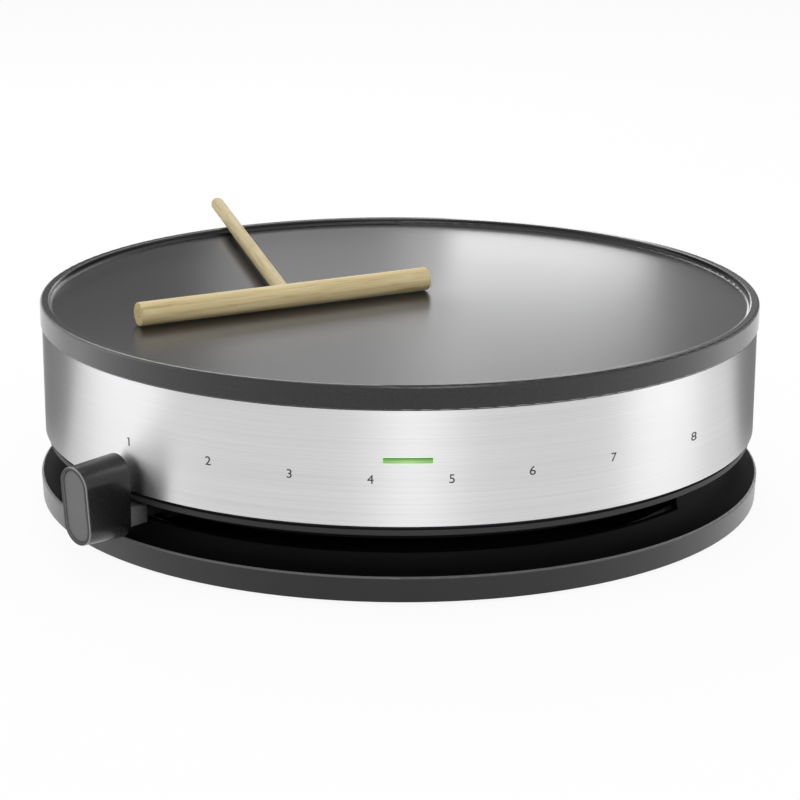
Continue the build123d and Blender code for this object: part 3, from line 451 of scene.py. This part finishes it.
def figures_tree():
    """The 1 from its outline and the rest from type, given thickness and wrapped round the band."""
    tree = bpy.data.node_groups.new("scale_figures", "GeometryNodeTree")
    names = inputs_of(tree, height="Float", radius="Float", thickness="Float", ink="Material")
    given = add(tree, "NodeGroupInput").outputs
    gathered = add(tree, "GeometryNodeJoinGeometry")
    outline = add(tree, "GeometryNodeMeshToCurve", {}, {"Mesh": given["Geometry"]})
    places = zip(FIGURE_BEARINGS, FIGURE_LEVELS, FIGURE_STRETCH)
    for number, (bearing, level, stretch) in enumerate(places, 1):
        figure = outline.outputs["Curve"]
        if number > 1:
            figure = add(
                tree,
                "GeometryNodeStringToCurves",
                {"align_x": "CENTER", "align_y": "MIDDLE", "String": str(number)},
                {"Size": given["height"]},
            ).outputs["Curve Instances"]
        arc = add(
            tree,
            "ShaderNodeMath",
            {"operation": "MULTIPLY", 1: radians(bearing)},
            {0: given["radius"]},
        )
        shift = add(tree, "ShaderNodeCombineXYZ", {"Y": level}, {"X": arc.outputs["Value"]})
        placed = add(
            tree,
            "GeometryNodeTransform",
            {"Scale": (stretch, 1.0, 1.0)},
            {"Geometry": figure, "Translation": shift.outputs["Vector"]},
        )
        tree.links.new(placed.outputs["Geometry"], gathered.inputs["Geometry"])
    real = add(tree, "GeometryNodeRealizeInstances", {}, {"Geometry": gathered.outputs["Geometry"]})
    filled = add(tree, "GeometryNodeFillCurve", {}, {"Curve": real.outputs["Geometry"]})
    raised = add(
        tree,
        "GeometryNodeExtrudeMesh",
        {"Individual": False},
        {"Mesh": filled.outputs["Mesh"], "Offset Scale": given["thickness"]},
    )
    under = add(tree, "GeometryNodeFlipFaces", {}, {"Mesh": filled.outputs["Mesh"]})
    closed = add(tree, "GeometryNodeJoinGeometry")
    tree.links.new(raised.outputs["Mesh"], closed.inputs["Geometry"])
    tree.links.new(under.outputs["Mesh"], closed.inputs["Geometry"])
    welded = add(
        tree,
        "GeometryNodeMergeByDistance",
        {"Distance": INK_WELD},
        {"Geometry": closed.outputs["Geometry"]},
    )
    position = add(tree, "GeometryNodeInputPosition").outputs["Position"]
    flat = add(tree, "ShaderNodeSeparateXYZ", {}, {"Vector": position})
    angle = add(
        tree,
        "ShaderNodeMath",
        {"operation": "DIVIDE"},
        {0: flat.outputs["X"], 1: given["radius"]},
    )
    reach = add(
        tree,
        "ShaderNodeMath",
        {"operation": "ADD"},
        {0: given["radius"], 1: flat.outputs["Z"]},
    )
    out = add(tree, "ShaderNodeMath", {"operation": "MULTIPLY", 1: -1.0}, {0: reach.outputs["Value"]})
    sine = add(tree, "ShaderNodeMath", {"operation": "SINE"}, {0: angle.outputs["Value"]})
    cosine = add(tree, "ShaderNodeMath", {"operation": "COSINE"}, {0: angle.outputs["Value"]})
    across = add(
        tree,
        "ShaderNodeMath",
        {"operation": "MULTIPLY"},
        {0: sine.outputs["Value"], 1: reach.outputs["Value"]},
    )
    ahead = add(
        tree,
        "ShaderNodeMath",
        {"operation": "MULTIPLY"},
        {0: cosine.outputs["Value"], 1: out.outputs["Value"]},
    )
    wrapped_place = add(
        tree,
        "ShaderNodeCombineXYZ",
        {},
        {"X": across.outputs["Value"], "Y": ahead.outputs["Value"], "Z": flat.outputs["Y"]},
    )
    wrapped = add(
        tree,
        "GeometryNodeSetPosition",
        {},
        {"Geometry": welded.outputs["Geometry"], "Position": wrapped_place.outputs["Vector"]},
    )
    inked = add(
        tree,
        "GeometryNodeSetMaterial",
        {},
        {"Geometry": wrapped.outputs["Geometry"], "Material": given["ink"]},
    )
    add(tree, "NodeGroupOutput", {}, {"Geometry": inked.outputs["Geometry"]})
    return tree, names


figure_tree, figure_inputs = figures_tree()
scale_figures = made_mesh(
    "scale_figures",
    figure_tree,
    figure_inputs,
    {
        "height": FIGURE_HEIGHT / CAP_SHARE,
        "radius": band_radius,
        "thickness": INK_THICKNESS,
        "ink": printing_ink(),
    },
    corners=[(ONE_HEIGHT * x, ONE_HEIGHT * y, 0.0) for x, y in ONE_OUTLINE],
    edges=[(i, (i + 1) % len(ONE_OUTLINE)) for i in range(len(ONE_OUTLINE))],
)
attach(scale_figures, "root")

# Indicator lens
# The light guide is acrylic tinted green, a slim rectangular bar whose face is almost flush with the
# band. Lit from behind, it is deep along the top, bright low in the middle, and pale at its edge.
GUIDE_DEEP = "#386e2b"
GUIDE_LOW = "#739b5b"
GUIDE_BRIGHT = "#8aaf6b"
GUIDE_EDGE = "#c2e1bc"
GUIDE_EDGE_WIDTH = 0.0003
GUIDE_EDGE_BLUR = 0.00006
GUIDE_HALF_LENGTH = 0.0107
GUIDE_HALF_HEIGHT = 0.00155
DEEP_FROM = -0.15
DEEP_BY = 0.6
LOW_FROM = 0.1
LOW_BY = 0.8

lens_low, lens_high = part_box("indicator_lens")


def lit_acrylic():
    """Green tinted acrylic with the lamp's light in it."""
    material = blank_material("acrylic_tinted_lit")
    tree = material.node_tree
    place = add(tree, "ShaderNodeTexCoord").outputs["Object"]
    parts = add(tree, "ShaderNodeSeparateXYZ", {}, {"Vector": place})
    from_middle = add(
        tree,
        "ShaderNodeMath",
        {"operation": "SUBTRACT", 1: (lens_low.z + lens_high.z) / 2},
        {0: parts.outputs["Z"]},
    )
    from_centre = add(
        tree,
        "ShaderNodeMath",
        {"operation": "SUBTRACT", 1: (lens_low.x + lens_high.x) / 2},
        {0: parts.outputs["X"]},
    )
    aside = add(tree, "ShaderNodeMath", {"operation": "ABSOLUTE"}, {0: from_centre.outputs["Value"]})
    level = add(tree, "ShaderNodeMath", {"operation": "ABSOLUTE"}, {0: from_middle.outputs["Value"]})
    past_end = add(
        tree,
        "ShaderNodeMath",
        {"operation": "SUBTRACT", 1: GUIDE_HALF_LENGTH},
        {0: aside.outputs["Value"]},
    )
    past_side = add(
        tree,
        "ShaderNodeMath",
        {"operation": "SUBTRACT", 1: GUIDE_HALF_HEIGHT},
        {0: level.outputs["Value"]},
    )
    reach = add(
        tree,
        "ShaderNodeMath",
        {"operation": "MAXIMUM"},
        {0: past_end.outputs["Value"], 1: past_side.outputs["Value"]},
    )
    rise = add(
        tree,
        "ShaderNodeMapRange",
        {"From Min": DEEP_FROM * GUIDE_HALF_HEIGHT, "From Max": DEEP_BY * GUIDE_HALF_HEIGHT},
        {"Value": from_middle.outputs["Value"]},
    )
    along = add(
        tree,
        "ShaderNodeMapRange",
        {"From Min": LOW_FROM * GUIDE_HALF_LENGTH, "From Max": LOW_BY * GUIDE_HALF_LENGTH},
        {"Value": aside.outputs["Value"]},
    )
    low_tone = blend_colours(tree, along.outputs["Result"], GUIDE_BRIGHT, GUIDE_LOW)
    green = add(
        tree,
        "ShaderNodeMixRGB",
        {"Color2": linear(GUIDE_DEEP)},
        {"Fac": rise.outputs["Result"], "Color1": low_tone},
    )
    edge = add(
        tree,
        "ShaderNodeMapRange",
        {
            "From Min": -GUIDE_EDGE_WIDTH - GUIDE_EDGE_BLUR,
            "From Max": -GUIDE_EDGE_WIDTH + GUIDE_EDGE_BLUR,
        },
        {"Value": reach.outputs["Value"]},
    )
    colour = add(
        tree,
        "ShaderNodeMixRGB",
        {"Color2": linear(GUIDE_EDGE)},
        {"Fac": edge.outputs["Result"], "Color1": green.outputs["Color"]},
    )
    shader = add(
        tree,
        "ShaderNodeBsdfPrincipled",
        {"Roughness": 0.3, "IOR": 1.49, "Emission Strength": 0.6},
        {"Base Color": colour.outputs["Color"], "Emission Color": colour.outputs["Color"]},
    )
    add(tree, "ShaderNodeOutputMaterial", {}, {"Surface": shader.outputs["BSDF"]})
    return material


dress(lit_acrylic(), "indicator_lens")

# Lamp and its holder
# A small round-ended lamp of soda-lime glass lies behind the lens, in a white nylon box that is
# open to the front and sits on the drum's wall.
HOLDER_WHITE = "#d9d8d2"
HOLDER_WHITE_LOW = "#cfcec6"
LAMP_GLASS = "#e6f2e2"
FROST_GRAIN = 1 / 900


def lamp_glass():
    """Soda-lime glass of a small discharge lamp."""
    material = blank_material("glass_lamp")
    tree = material.node_tree
    place = add(tree, "ShaderNodeTexCoord").outputs["Object"]
    frost = add(tree, "ShaderNodeTexNoise", {"Scale": 1 / FROST_GRAIN}, {"Vector": place})
    dullness = add(
        tree,
        "ShaderNodeMapRange",
        {"To Min": 0.02, "To Max": 0.12},
        {"Value": frost.outputs["Fac"]},
    )
    shader = add(
        tree,
        "ShaderNodeBsdfPrincipled",
        {"Base Color": linear(LAMP_GLASS), "IOR": 1.52, "Transmission Weight": 0.9},
        {"Roughness": dullness.outputs["Result"]},
    )
    add(tree, "ShaderNodeOutputMaterial", {}, {"Surface": shader.outputs["BSDF"]})
    return material


holder_plastic = moulded_plastic(
    "nylon_white",
    HOLDER_WHITE_LOW,
    HOLDER_WHITE,
    SATIN_GRAIN,
    relief=0.1,
    roughness=0.5,
    specular=0.5,
)
dress(holder_plastic, "lamp_holder")
dress(lamp_glass(), "indicator_lamp")

# Heating and control parts inside the drum
# Tubular element in oxidised steel, steatite beads and blocks, brass leaves, bushes and terminal
# screws, and a fuse in a woven glass-fibre sleeve.
ELEMENT_BROWN = "#4a4038"
ELEMENT_BLUE = "#3a3e46"
OXIDE_PATCH = 1 / 60
STEATITE = "#e4dfd0"
STEATITE_LOW = "#d6cfbb"
BRASS = "#c9a55c"
BRASS_DULL = "#a98745"
BRASS_PATCH = 1 / 180
SLEEVE = "#ddd6c2"
SLEEVE_LOW = "#b8ae94"
SLEEVE_WEAVE = 0.0008
SLEEVE_DEPTH = 0.0001


def tinted_metal(name, low, high, patch, roughness):
    """A bare metal whose tone drifts from place to place."""
    material = blank_material(name)
    tree = material.node_tree
    place = add(tree, "ShaderNodeTexCoord").outputs["Object"]
    drift = add(tree, "ShaderNodeTexNoise", {"Scale": 1 / patch, "Detail": 3.0}, {"Vector": place})
    colour = blend_colours(tree, drift.outputs["Fac"], low, high, start=0.35, end=0.65)
    shader = add(
        tree,
        "ShaderNodeBsdfPrincipled",
        {"Metallic": 1.0, "Roughness": roughness},
        {"Base Color": colour},
    )
    add(tree, "ShaderNodeOutputMaterial", {}, {"Surface": shader.outputs["BSDF"]})
    return material


def woven_sleeve():
    """Glass-fibre sleeving: a fine diagonal weave, varnished."""
    material = blank_material("glass_fibre_woven")
    tree = material.node_tree
    place = add(tree, "ShaderNodeTexCoord").outputs["Object"]
    weave = add(
        tree,
        "ShaderNodeTexWave",
        {"bands_direction": "DIAGONAL", "Scale": 1 / SLEEVE_WEAVE, "Distortion": 0.5},
        {"Vector": place},
    )
    colour = blend_colours(tree, weave.outputs["Fac"], SLEEVE_LOW, SLEEVE)
    bump = add(
        tree,
        "ShaderNodeBump",
        {"Strength": 0.5, "Distance": SLEEVE_DEPTH},
        {"Height": weave.outputs["Fac"]},
    )
    shader = add(
        tree,
        "ShaderNodeBsdfPrincipled",
        {"Roughness": 0.55},
        {"Base Color": colour, "Normal": bump.outputs["Normal"]},
    )
    add(tree, "ShaderNodeOutputMaterial", {}, {"Surface": shader.outputs["BSDF"]})
    return material


oxidised_steel = tinted_metal(
    "steel_heat_oxidised", ELEMENT_BROWN, ELEMENT_BLUE, OXIDE_PATCH, roughness=0.5
)
dress(oxidised_steel, "heating_element")
turned_brass = tinted_metal("brass_turned", BRASS_DULL, BRASS, BRASS_PATCH, roughness=0.3)
dress(turned_brass, "floor_bush", "thermostat_guide", "contact_leaves", "block_screws")
steatite = moulded_plastic(
    "steatite_fired",
    STEATITE_LOW,
    STEATITE,
    SATIN_GRAIN,
    relief=0.1,
    roughness=0.35,
    specular=0.5,
)
dress(steatite, "element_terminals", "thermostat_stack", "terminal_block")
dress(woven_sleeve(), "thermal_fuse")

# Cooking plate
# A cast aluminium disc, turned all over and sprayed with a dark, satin non-stick coat. The turning
# shows through the coat as faint rings on top and as fine level streaks round the rim, drawn wider
# than a real tool's marks, so that they show. The rim's wall has a pale bloom at a shallow angle.
COAT = "#19181a"
COAT_HIGH = "#201f21"
COAT_MOTTLE = 1 / 900
TURNING_PITCH = 0.0009
TURNING_DEPTH = 0.000002
RIM_STREAK_LENGTH = 0.03
RIM_STREAK_WIDTH = 0.0007
RING_SHARE = 0.4
STREAK_SHARE = 0.5
RIM_WALL_RADIUS = 0.1690
RIM_WALL_BLUR = 0.0003
RIM_BLOOM = 0.9


def turned_coating():
    """Non-stick coat over a turned surface."""
    material = blank_material("aluminium_turned_non_stick")
    tree = material.node_tree
    place = add(tree, "ShaderNodeTexCoord").outputs["Object"]
    parts = add(tree, "ShaderNodeSeparateXYZ", {}, {"Vector": place})
    flat = add(tree, "ShaderNodeCombineXYZ", {}, {"X": parts.outputs["X"], "Y": parts.outputs["Y"]})
    radius = add(tree, "ShaderNodeVectorMath", {"operation": "LENGTH"}, {0: flat.outputs["Vector"]})
    rings = add(
        tree,
        "ShaderNodeTexNoise",
        {"noise_dimensions": "1D", "Scale": 1 / TURNING_PITCH, "Detail": 2.0},
        {"W": radius.outputs["Value"]},
    )
    way = add(
        tree,
        "ShaderNodeMapping",
        {"Scale": (1 / RIM_STREAK_LENGTH, 1 / RIM_STREAK_LENGTH, 1 / RIM_STREAK_WIDTH)},
        {"Vector": place},
    )
    streaks = add(
        tree,
        "ShaderNodeTexNoise",
        {"Scale": 1.0, "Detail": 3.0},
        {"Vector": way.outputs["Vector"]},
    )
    mottle = add(tree, "ShaderNodeTexNoise", {"Scale": 1 / COAT_MOTTLE, "Detail": 2.0}, {"Vector": place})
    ringed = add(
        tree,
        "ShaderNodeMath",
        {"operation": "MULTIPLY_ADD", 1: RING_SHARE},
        {0: rings.outputs["Fac"], 2: mottle.outputs["Fac"]},
    )
    tone = add(
        tree,
        "ShaderNodeMath",
        {"operation": "MULTIPLY_ADD", 1: STREAK_SHARE},
        {0: streaks.outputs["Fac"], 2: ringed.outputs["Value"]},
    )
    colour = blend_colours(tree, tone.outputs["Value"], COAT, COAT_HIGH, start=0.7)
    bump = add(
        tree,
        "ShaderNodeBump",
        {"Strength": 1.0, "Distance": TURNING_DEPTH},
        {"Height": rings.outputs["Fac"]},
    )
    turning = add(tree, "ShaderNodeTangent", {"direction_type": "RADIAL", "axis": "Z"})
    wall_bloom = add(
        tree,
        "ShaderNodeMapRange",
        {"From Min": RIM_WALL_RADIUS - RIM_WALL_BLUR, "From Max": RIM_WALL_RADIUS, "To Max": RIM_BLOOM},
        {"Value": radius.outputs["Value"]},
    )
    shader = add(
        tree,
        "ShaderNodeBsdfPrincipled",
        {
            "Sheen Roughness": 0.45,
            "Roughness": 0.26,
            "IOR": 1.5,
            "Specular IOR Level": 0.35,
            "Anisotropic": 0.2,
            "Anisotropic Rotation": 0.25,
        },
        {
            "Base Color": colour,
            "Normal": bump.outputs["Normal"],
            "Tangent": turning.outputs["Tangent"],
            "Sheen Weight": wall_bloom.outputs["Result"],
        },
    )
    add(tree, "ShaderNodeOutputMaterial", {}, {"Surface": shader.outputs["BSDF"]})
    return material


dress(turned_coating(), "cooking_plate")

# Lever and knob
# Arm and knob are black nylon, moulded; the knob is satin. Its neck, which slides in the groove, is
# painted mid grey as painted light, fading out towards the drum, and the edge of its face carries a painted
# highlight in pale grey. A mid-grey plate is pressed into the recess of the face.
KNOB_BLACK = "#0d0d0e"
KNOB_BLACK_HIGH = "#121213"
# Mid grey painted on the neck as painted light.
NECK_PAINTED_LIGHT = "#747476"
NECK_START_RADIUS = 0.1570
NECK_END_RADIUS = 0.1720
NECK_END_BLUR = 0.0004
# Pale grey painted along the face's edge as a painted highlight.
KNOB_EDGE_HIGHLIGHT_PAINT = "#949496"
EDGE_WIDTH = 0.0004
EDGE_BACK_FADE = (2.5 * EDGE_WIDTH, EDGE_WIDTH / 2)
EDGE_FRONT_FADE = (EDGE_WIDTH / 8, EDGE_WIDTH / 3)
KNOB_HEADING = radians(225)
KNOB_TILT = radians(4.1)
KNOB_REACH = 0.1960
KNOB_MIDDLE = 0.03255
INLAY_GREY = "#626263"
INLAY_GREY_HIGH = "#6a6a6b"


def scuffed_nylon():
    """Satin black nylon, with painted light in grey on the neck and a painted highlight along the edge of
    its face.
    """
    material = moulded_plastic(
        "nylon_satin_black",
        KNOB_BLACK,
        KNOB_BLACK_HIGH,
        SATIN_GRAIN,
        relief=0.04,
        roughness=0.26,
        specular=0.55,
    )
    tree = material.node_tree
    place = add(tree, "ShaderNodeTexCoord").outputs["Object"]
    parts = add(tree, "ShaderNodeSeparateXYZ", {}, {"Vector": place})
    flat = add(tree, "ShaderNodeCombineXYZ", {}, {"X": parts.outputs["X"], "Y": parts.outputs["Y"]})
    radius = add(tree, "ShaderNodeVectorMath", {"operation": "LENGTH"}, {0: flat.outputs["Vector"]})
    inside = add(
        tree,
        "ShaderNodeMapRange",
        {"From Min": NECK_END_RADIUS, "From Max": NECK_END_RADIUS - NECK_END_BLUR},
        {"Value": radius.outputs["Value"]},
    )
    fading = add(
        tree,
        "ShaderNodeMapRange",
        {"From Min": NECK_START_RADIUS, "From Max": NECK_END_RADIUS},
        {"Value": radius.outputs["Value"]},
    )
    neck_light_mask = add(
        tree,
        "ShaderNodeMath",
        {"operation": "MULTIPLY"},
        {0: inside.outputs["Result"], 1: fading.outputs["Result"]},
    )
    level = cos(KNOB_TILT)
    outward = (level * cos(KNOB_HEADING), level * sin(KNOB_HEADING), -sin(KNOB_TILT))
    ahead = add(tree, "ShaderNodeVectorMath", {"operation": "DOT_PRODUCT", 1: outward}, {0: place})
    face = KNOB_REACH * cos(KNOB_TILT) - KNOB_MIDDLE * sin(KNOB_TILT)
    past_face = add(tree, "ShaderNodeMath", {"operation": "SUBTRACT", 1: face}, {0: ahead.outputs["Value"]})
    from_back = add(
        tree,
        "ShaderNodeMapRange",
        {"From Min": -EDGE_BACK_FADE[0], "From Max": -EDGE_BACK_FADE[1]},
        {"Value": past_face.outputs["Value"]},
    )
    from_front = add(
        tree,
        "ShaderNodeMapRange",
        {"From Min": -EDGE_FRONT_FADE[0], "From Max": -EDGE_FRONT_FADE[1]},
        {"Value": past_face.outputs["Value"]},
    )
    edge_highlight_mask = add(
        tree,
        "ShaderNodeMath",
        {"operation": "MULTIPLY"},
        {0: from_back.outputs["Result"], 1: from_front.outputs["Result"]},
    )
    # Painted light: mid grey over the neck, and a pale grey painted highlight along the edge of the face.
    lay_over(material, neck_light_mask.outputs["Value"], NECK_PAINTED_LIGHT)
    lay_over(material, edge_highlight_mask.outputs["Value"], KNOB_EDGE_HIGHLIGHT_PAINT)
    return material


arm_plastic = moulded_plastic(
    "nylon_matt_black",
    KNOB_BLACK,
    KNOB_BLACK_HIGH,
    SATIN_GRAIN,
    relief=0.12,
    roughness=0.5,
    specular=0.4,
)
dress(arm_plastic, "lever_arm")
dress(scuffed_nylon(), "lever_knob")
inlay_plastic = moulded_plastic(
    "nylon_satin_grey",
    INLAY_GREY,
    INLAY_GREY_HIGH,
    SATIN_GRAIN,
    relief=0.1,
    roughness=0.5,
    specular=0.4,
)
dress(inlay_plastic, "knob_inlay")

# Batter spreader
# Two turned beech sticks, the thin handle glued into the bar, sanded and left bare. The grain runs
# along each stick in long soft streaks with fine pores between them.
BAR_TONES = ("#b09a68", "#ccb888", "#dccda2")
# The handle's tones are a darker, greyer copy of the bar's, as painted shade.
HANDLE_TONES_SHADED = ("#a59468", "#bdad82", "#cbbd98")
TONE_STEPS = (0.42, 0.58, 0.85)
GRAIN_LENGTH = 0.045
GRAIN_WIDTH = 0.0022
GRAIN_DEPTH = 0.0001
PORE_LENGTH = 0.0075
PORE_WIDTH = 0.00044
PORE_SHARE = 0.3
BAR_HEADING = radians(29.3)
HANDLE_HEADING = radians(102.8)


def bare_beech(name, heading, tones):
    """Turned bare wood with its grain along a heading, in tones from dark to light."""
    material = blank_material(name)
    tree = material.node_tree
    place = add(tree, "ShaderNodeTexCoord").outputs["Object"]
    turned = add(
        tree,
        "ShaderNodeVectorRotate",
        {"rotation_type": "Z_AXIS", "Angle": -heading},
        {"Vector": place},
    )
    grain_way = add(
        tree,
        "ShaderNodeMapping",
        {"Scale": (1 / GRAIN_LENGTH, 1 / GRAIN_WIDTH, 1 / GRAIN_WIDTH)},
        {"Vector": turned.outputs["Vector"]},
    )
    grain = add(
        tree,
        "ShaderNodeTexNoise",
        {"Scale": 1.0, "Detail": 5.0, "Roughness": 0.6, "Distortion": 0.9},
        {"Vector": grain_way.outputs["Vector"]},
    )
    pores_way = add(
        tree,
        "ShaderNodeMapping",
        {"Scale": (1 / PORE_LENGTH, 1 / PORE_WIDTH, 1 / PORE_WIDTH)},
        {"Vector": turned.outputs["Vector"]},
    )
    pores = add(
        tree,
        "ShaderNodeTexNoise",
        {"Scale": 1.0, "Detail": 2.0},
        {"Vector": pores_way.outputs["Vector"]},
    )
    tone = add(
        tree,
        "ShaderNodeMath",
        {"operation": "MULTIPLY_ADD", 1: PORE_SHARE},
        {0: pores.outputs["Fac"], 2: grain.outputs["Fac"]},
    )
    ramp = add(tree, "ShaderNodeValToRGB", {}, {"Fac": tone.outputs["Value"]})
    ramp.color_ramp.elements[0].position = TONE_STEPS[0]
    ramp.color_ramp.elements[0].color = linear(tones[0])
    ramp.color_ramp.elements[1].position = TONE_STEPS[2]
    ramp.color_ramp.elements[1].color = linear(tones[2])
    ramp.color_ramp.elements.new(TONE_STEPS[1]).color = linear(tones[1])
    bump = add(
        tree,
        "ShaderNodeBump",
        {"Strength": 0.2, "Distance": GRAIN_DEPTH},
        {"Height": tone.outputs["Value"]},
    )
    shader = add(
        tree,
        "ShaderNodeBsdfPrincipled",
        {"Roughness": 0.62, "IOR": 1.5, "Specular IOR Level": 0.3},
        {"Base Color": ramp.outputs["Color"], "Normal": bump.outputs["Normal"]},
    )
    add(tree, "ShaderNodeOutputMaterial", {}, {"Surface": shader.outputs["BSDF"]})
    return material


dress(bare_beech("beech_bar", BAR_HEADING, BAR_TONES), "spreader_bar")
# The handle takes the darker tones, as painted shade.
dress(bare_beech("beech_handle", HANDLE_HEADING, HANDLE_TONES_SHADED), "spreader_handle")

# Studio floor
# A wide flat floor of plain white paper under the object. The camera and reflections see it white,
# apart from the object's own soft shadow.
FLOOR_RADIUS = 6.0
FLOOR_SIDES = 96
FLOOR_WHITE = "#f4f4f4"
FLOOR_GLOW = 0.92
WHITE = (1, 1, 1, 1)


def seen_directly(tree):
    """1 for rays from the camera and for rays through gloss or glass, else 0."""
    ray = add(tree, "ShaderNodeLightPath")
    gloss = add(
        tree,
        "ShaderNodeMath",
        {"operation": "MAXIMUM"},
        {0: ray.outputs["Is Camera Ray"], 1: ray.outputs["Is Glossy Ray"]},
    )
    either = add(
        tree,
        "ShaderNodeMath",
        {"operation": "MAXIMUM"},
        {0: gloss.outputs["Value"], 1: ray.outputs["Is Transmission Ray"]},
    )
    return either.outputs["Value"]


def white_floor():
    """White paper, lifted to plain white where it is seen, with the shadow kept."""
    material = blank_material("floor_white")
    tree = material.node_tree
    lift = add(tree, "ShaderNodeMath", {"operation": "MULTIPLY", 1: FLOOR_GLOW}, {0: seen_directly(tree)})
    paper = add(tree, "ShaderNodeBsdfDiffuse", {"Color": linear(FLOOR_WHITE)})
    glow = add(tree, "ShaderNodeEmission", {"Color": WHITE, "Strength": 1.0})
    mix = add(
        tree,
        "ShaderNodeMixShader",
        {},
        {0: lift.outputs["Value"], 1: paper.outputs["BSDF"], 2: glow.outputs["Emission"]},
    )
    add(tree, "ShaderNodeOutputMaterial", {}, {"Surface": mix.outputs["Shader"]})
    return material


bpy.ops.mesh.primitive_circle_add(vertices=FLOOR_SIDES, radius=FLOOR_RADIUS, fill_type="NGON")
floor = bpy.context.object
floor.name = "floor"
floor.data.materials.append(white_floor())

# Studio light
# A pale room with a soft panel overhead, one at each side, one high in front and a strong one high
# behind, and two small ones low behind that draw a glow across the plate. Grey cards lie and stand
# at both sides, to shape the steel's ends, and stand behind on both sides.
WORLD_FILL = 0.55
MID_GREY = 0.45
DARK_GREY = 0.25
NEAR_BLACK = 0.07
DRUM = (0, 0, 0.05)
PLATE = (0, 0, 0.09)
CARD_STEPS = 12
CARD_NEAR = 0.22
CARD_FAR = 1.5
CARD_LIFT = 0.001
LEFT_SWEEP = (-112, -152)
RIGHT_SWEEP = (121, 154)
LEFT_BACK_SWEEP = (-160, -180)
RIGHT_BACK_SWEEP = (155, 171)


def pale_room():
    """The room: plain white where it is seen, and a dimmer fill for the light it gives."""
    world = bpy.data.worlds.new("pale_room")
    bpy.context.scene.world = world
    world.use_nodes = True
    tree = world.node_tree
    tree.nodes.clear()
    strength = add(
        tree,
        "ShaderNodeMapRange",
        {"To Min": WORLD_FILL, "To Max": 1.0},
        {"Value": seen_directly(tree)},
    )
    background = add(
        tree,
        "ShaderNodeBackground",
        {"Color": WHITE},
        {"Strength": strength.outputs["Result"]},
    )
    add(tree, "ShaderNodeOutputWorld", {}, {"Surface": background.outputs["Background"]})


def panel(name, place, aim, size, power):
    """A soft rectangular lamp that points at a spot."""
    light = bpy.data.lights.new(name, "AREA")
    light.shape = "RECTANGLE"
    light.size, light.size_y = size
    light.energy = power
    lamp = bpy.data.objects.new(name, light)
    lamp.location = place
    lamp.rotation_mode = "QUATERNION"
    lamp.rotation_quaternion = (Vector(aim) - Vector(place)).to_track_quat("-Z", "Y")
    lamp.visible_camera = False
    bpy.context.scene.collection.objects.link(lamp)


def card(name, near, far, shade):
    """A grey card ruled between two arcs, each given by radius, height and first and last bearing."""
    material = blank_material(name + "_grey")
    tree = material.node_tree
    matt = add(tree, "ShaderNodeEmission", {"Color": WHITE, "Strength": shade})
    add(tree, "ShaderNodeOutputMaterial", {}, {"Surface": matt.outputs["Emission"]})
    corners = []
    for i in range(CARD_STEPS + 1):
        for radius, height, first, last in (near, far):
            way = radians(first + (last - first) * i / CARD_STEPS)
            corners.append((sin(way) * radius, -cos(way) * radius, height))
    faces = [(2 * i, 2 * i + 2, 2 * i + 3, 2 * i + 1) for i in range(CARD_STEPS)]
    mesh = bpy.data.meshes.new(name)
    mesh.from_pydata(corners, [], faces)
    mesh.materials.append(material)
    piece = bpy.data.objects.new(name, mesh)
    bpy.context.scene.collection.objects.link(piece)
    piece.visible_camera = False
    piece.visible_shadow = False
    piece.visible_diffuse = False


def standing_card(name, foot, top, sweep, shade):
    """A grey card that stands on a far arc, from one height to another."""
    card(name, near=(CARD_FAR, foot, *sweep), far=(CARD_FAR, top, *sweep), shade=shade)


pale_room()
panel("top_panel", place=(0.0, 0.1, 1.5), aim=DRUM, size=(1.0, 0.8), power=2.5)
panel("back_panel", place=(-0.3, 1.2, 1.1), aim=PLATE, size=(0.8, 0.6), power=8.0)
panel(
    "low_back_panel",
    place=(0.12, 0.75, 0.18),
    aim=(0.06, 0.05, 0.09),
    size=(0.16, 0.12),
    power=0.28,
)
panel(
    "low_back_left_panel",
    place=(-0.05, 0.78, 0.31),
    aim=(-0.03, 0.05, 0.09),
    size=(0.2, 0.12),
    power=0.1,
)
panel("front_panel", place=(0.1, -1.25, 0.75), aim=DRUM, size=(0.5, 0.6), power=4.5)
panel("left_panel", place=(-1.2, -0.06, 0.32), aim=DRUM, size=(0.75, 0.6), power=2.6)
panel("right_panel", place=(1.19, -0.12, 0.32), aim=DRUM, size=(0.65, 0.6), power=2.6)
card(
    "left_floor_card",
    near=(CARD_NEAR, CARD_LIFT, -90, -115),
    far=(CARD_FAR, CARD_LIFT, *LEFT_SWEEP),
    shade=DARK_GREY,
)
card(
    "right_floor_card",
    near=(CARD_NEAR, CARD_LIFT, 95, 117),
    far=(CARD_FAR, CARD_LIFT, *RIGHT_SWEEP),
    shade=DARK_GREY,
)
standing_card("left_side_card", foot=0.0, top=0.9, sweep=LEFT_SWEEP, shade=DARK_GREY)
standing_card("right_side_card", foot=0.0, top=0.6, sweep=RIGHT_SWEEP, shade=NEAR_BLACK)
standing_card("left_back_card", foot=0.22, top=0.75, sweep=LEFT_BACK_SWEEP, shade=NEAR_BLACK)
standing_card("right_back_card", foot=0.25, top=0.8, sweep=RIGHT_BACK_SWEEP, shade=MID_GREY)

# Camera
# A long lens about 1.2 m away, a little above the plate.
CAMERA_PLACE = (0.0003, -1.130, 0.3655)
CAMERA_TILT = radians(16.03)
CAMERA_ROLL = radians(0.21)
LENS_MM = 109.9
SENSOR_MM = 36.0

camera_data = bpy.data.cameras.new("camera")
camera_data.lens = LENS_MM
camera_data.sensor_width = SENSOR_MM
camera = bpy.data.objects.new("camera", camera_data)
tilt = Matrix.Rotation(pi / 2 - CAMERA_TILT, 4, "X")
roll = Matrix.Rotation(CAMERA_ROLL, 4, "Z")
camera.matrix_world = Matrix.Translation(CAMERA_PLACE) @ tilt @ roll
bpy.context.scene.collection.objects.link(camera)
bpy.context.scene.camera = camera

bpy.context.scene.view_settings.view_transform = "Standard"
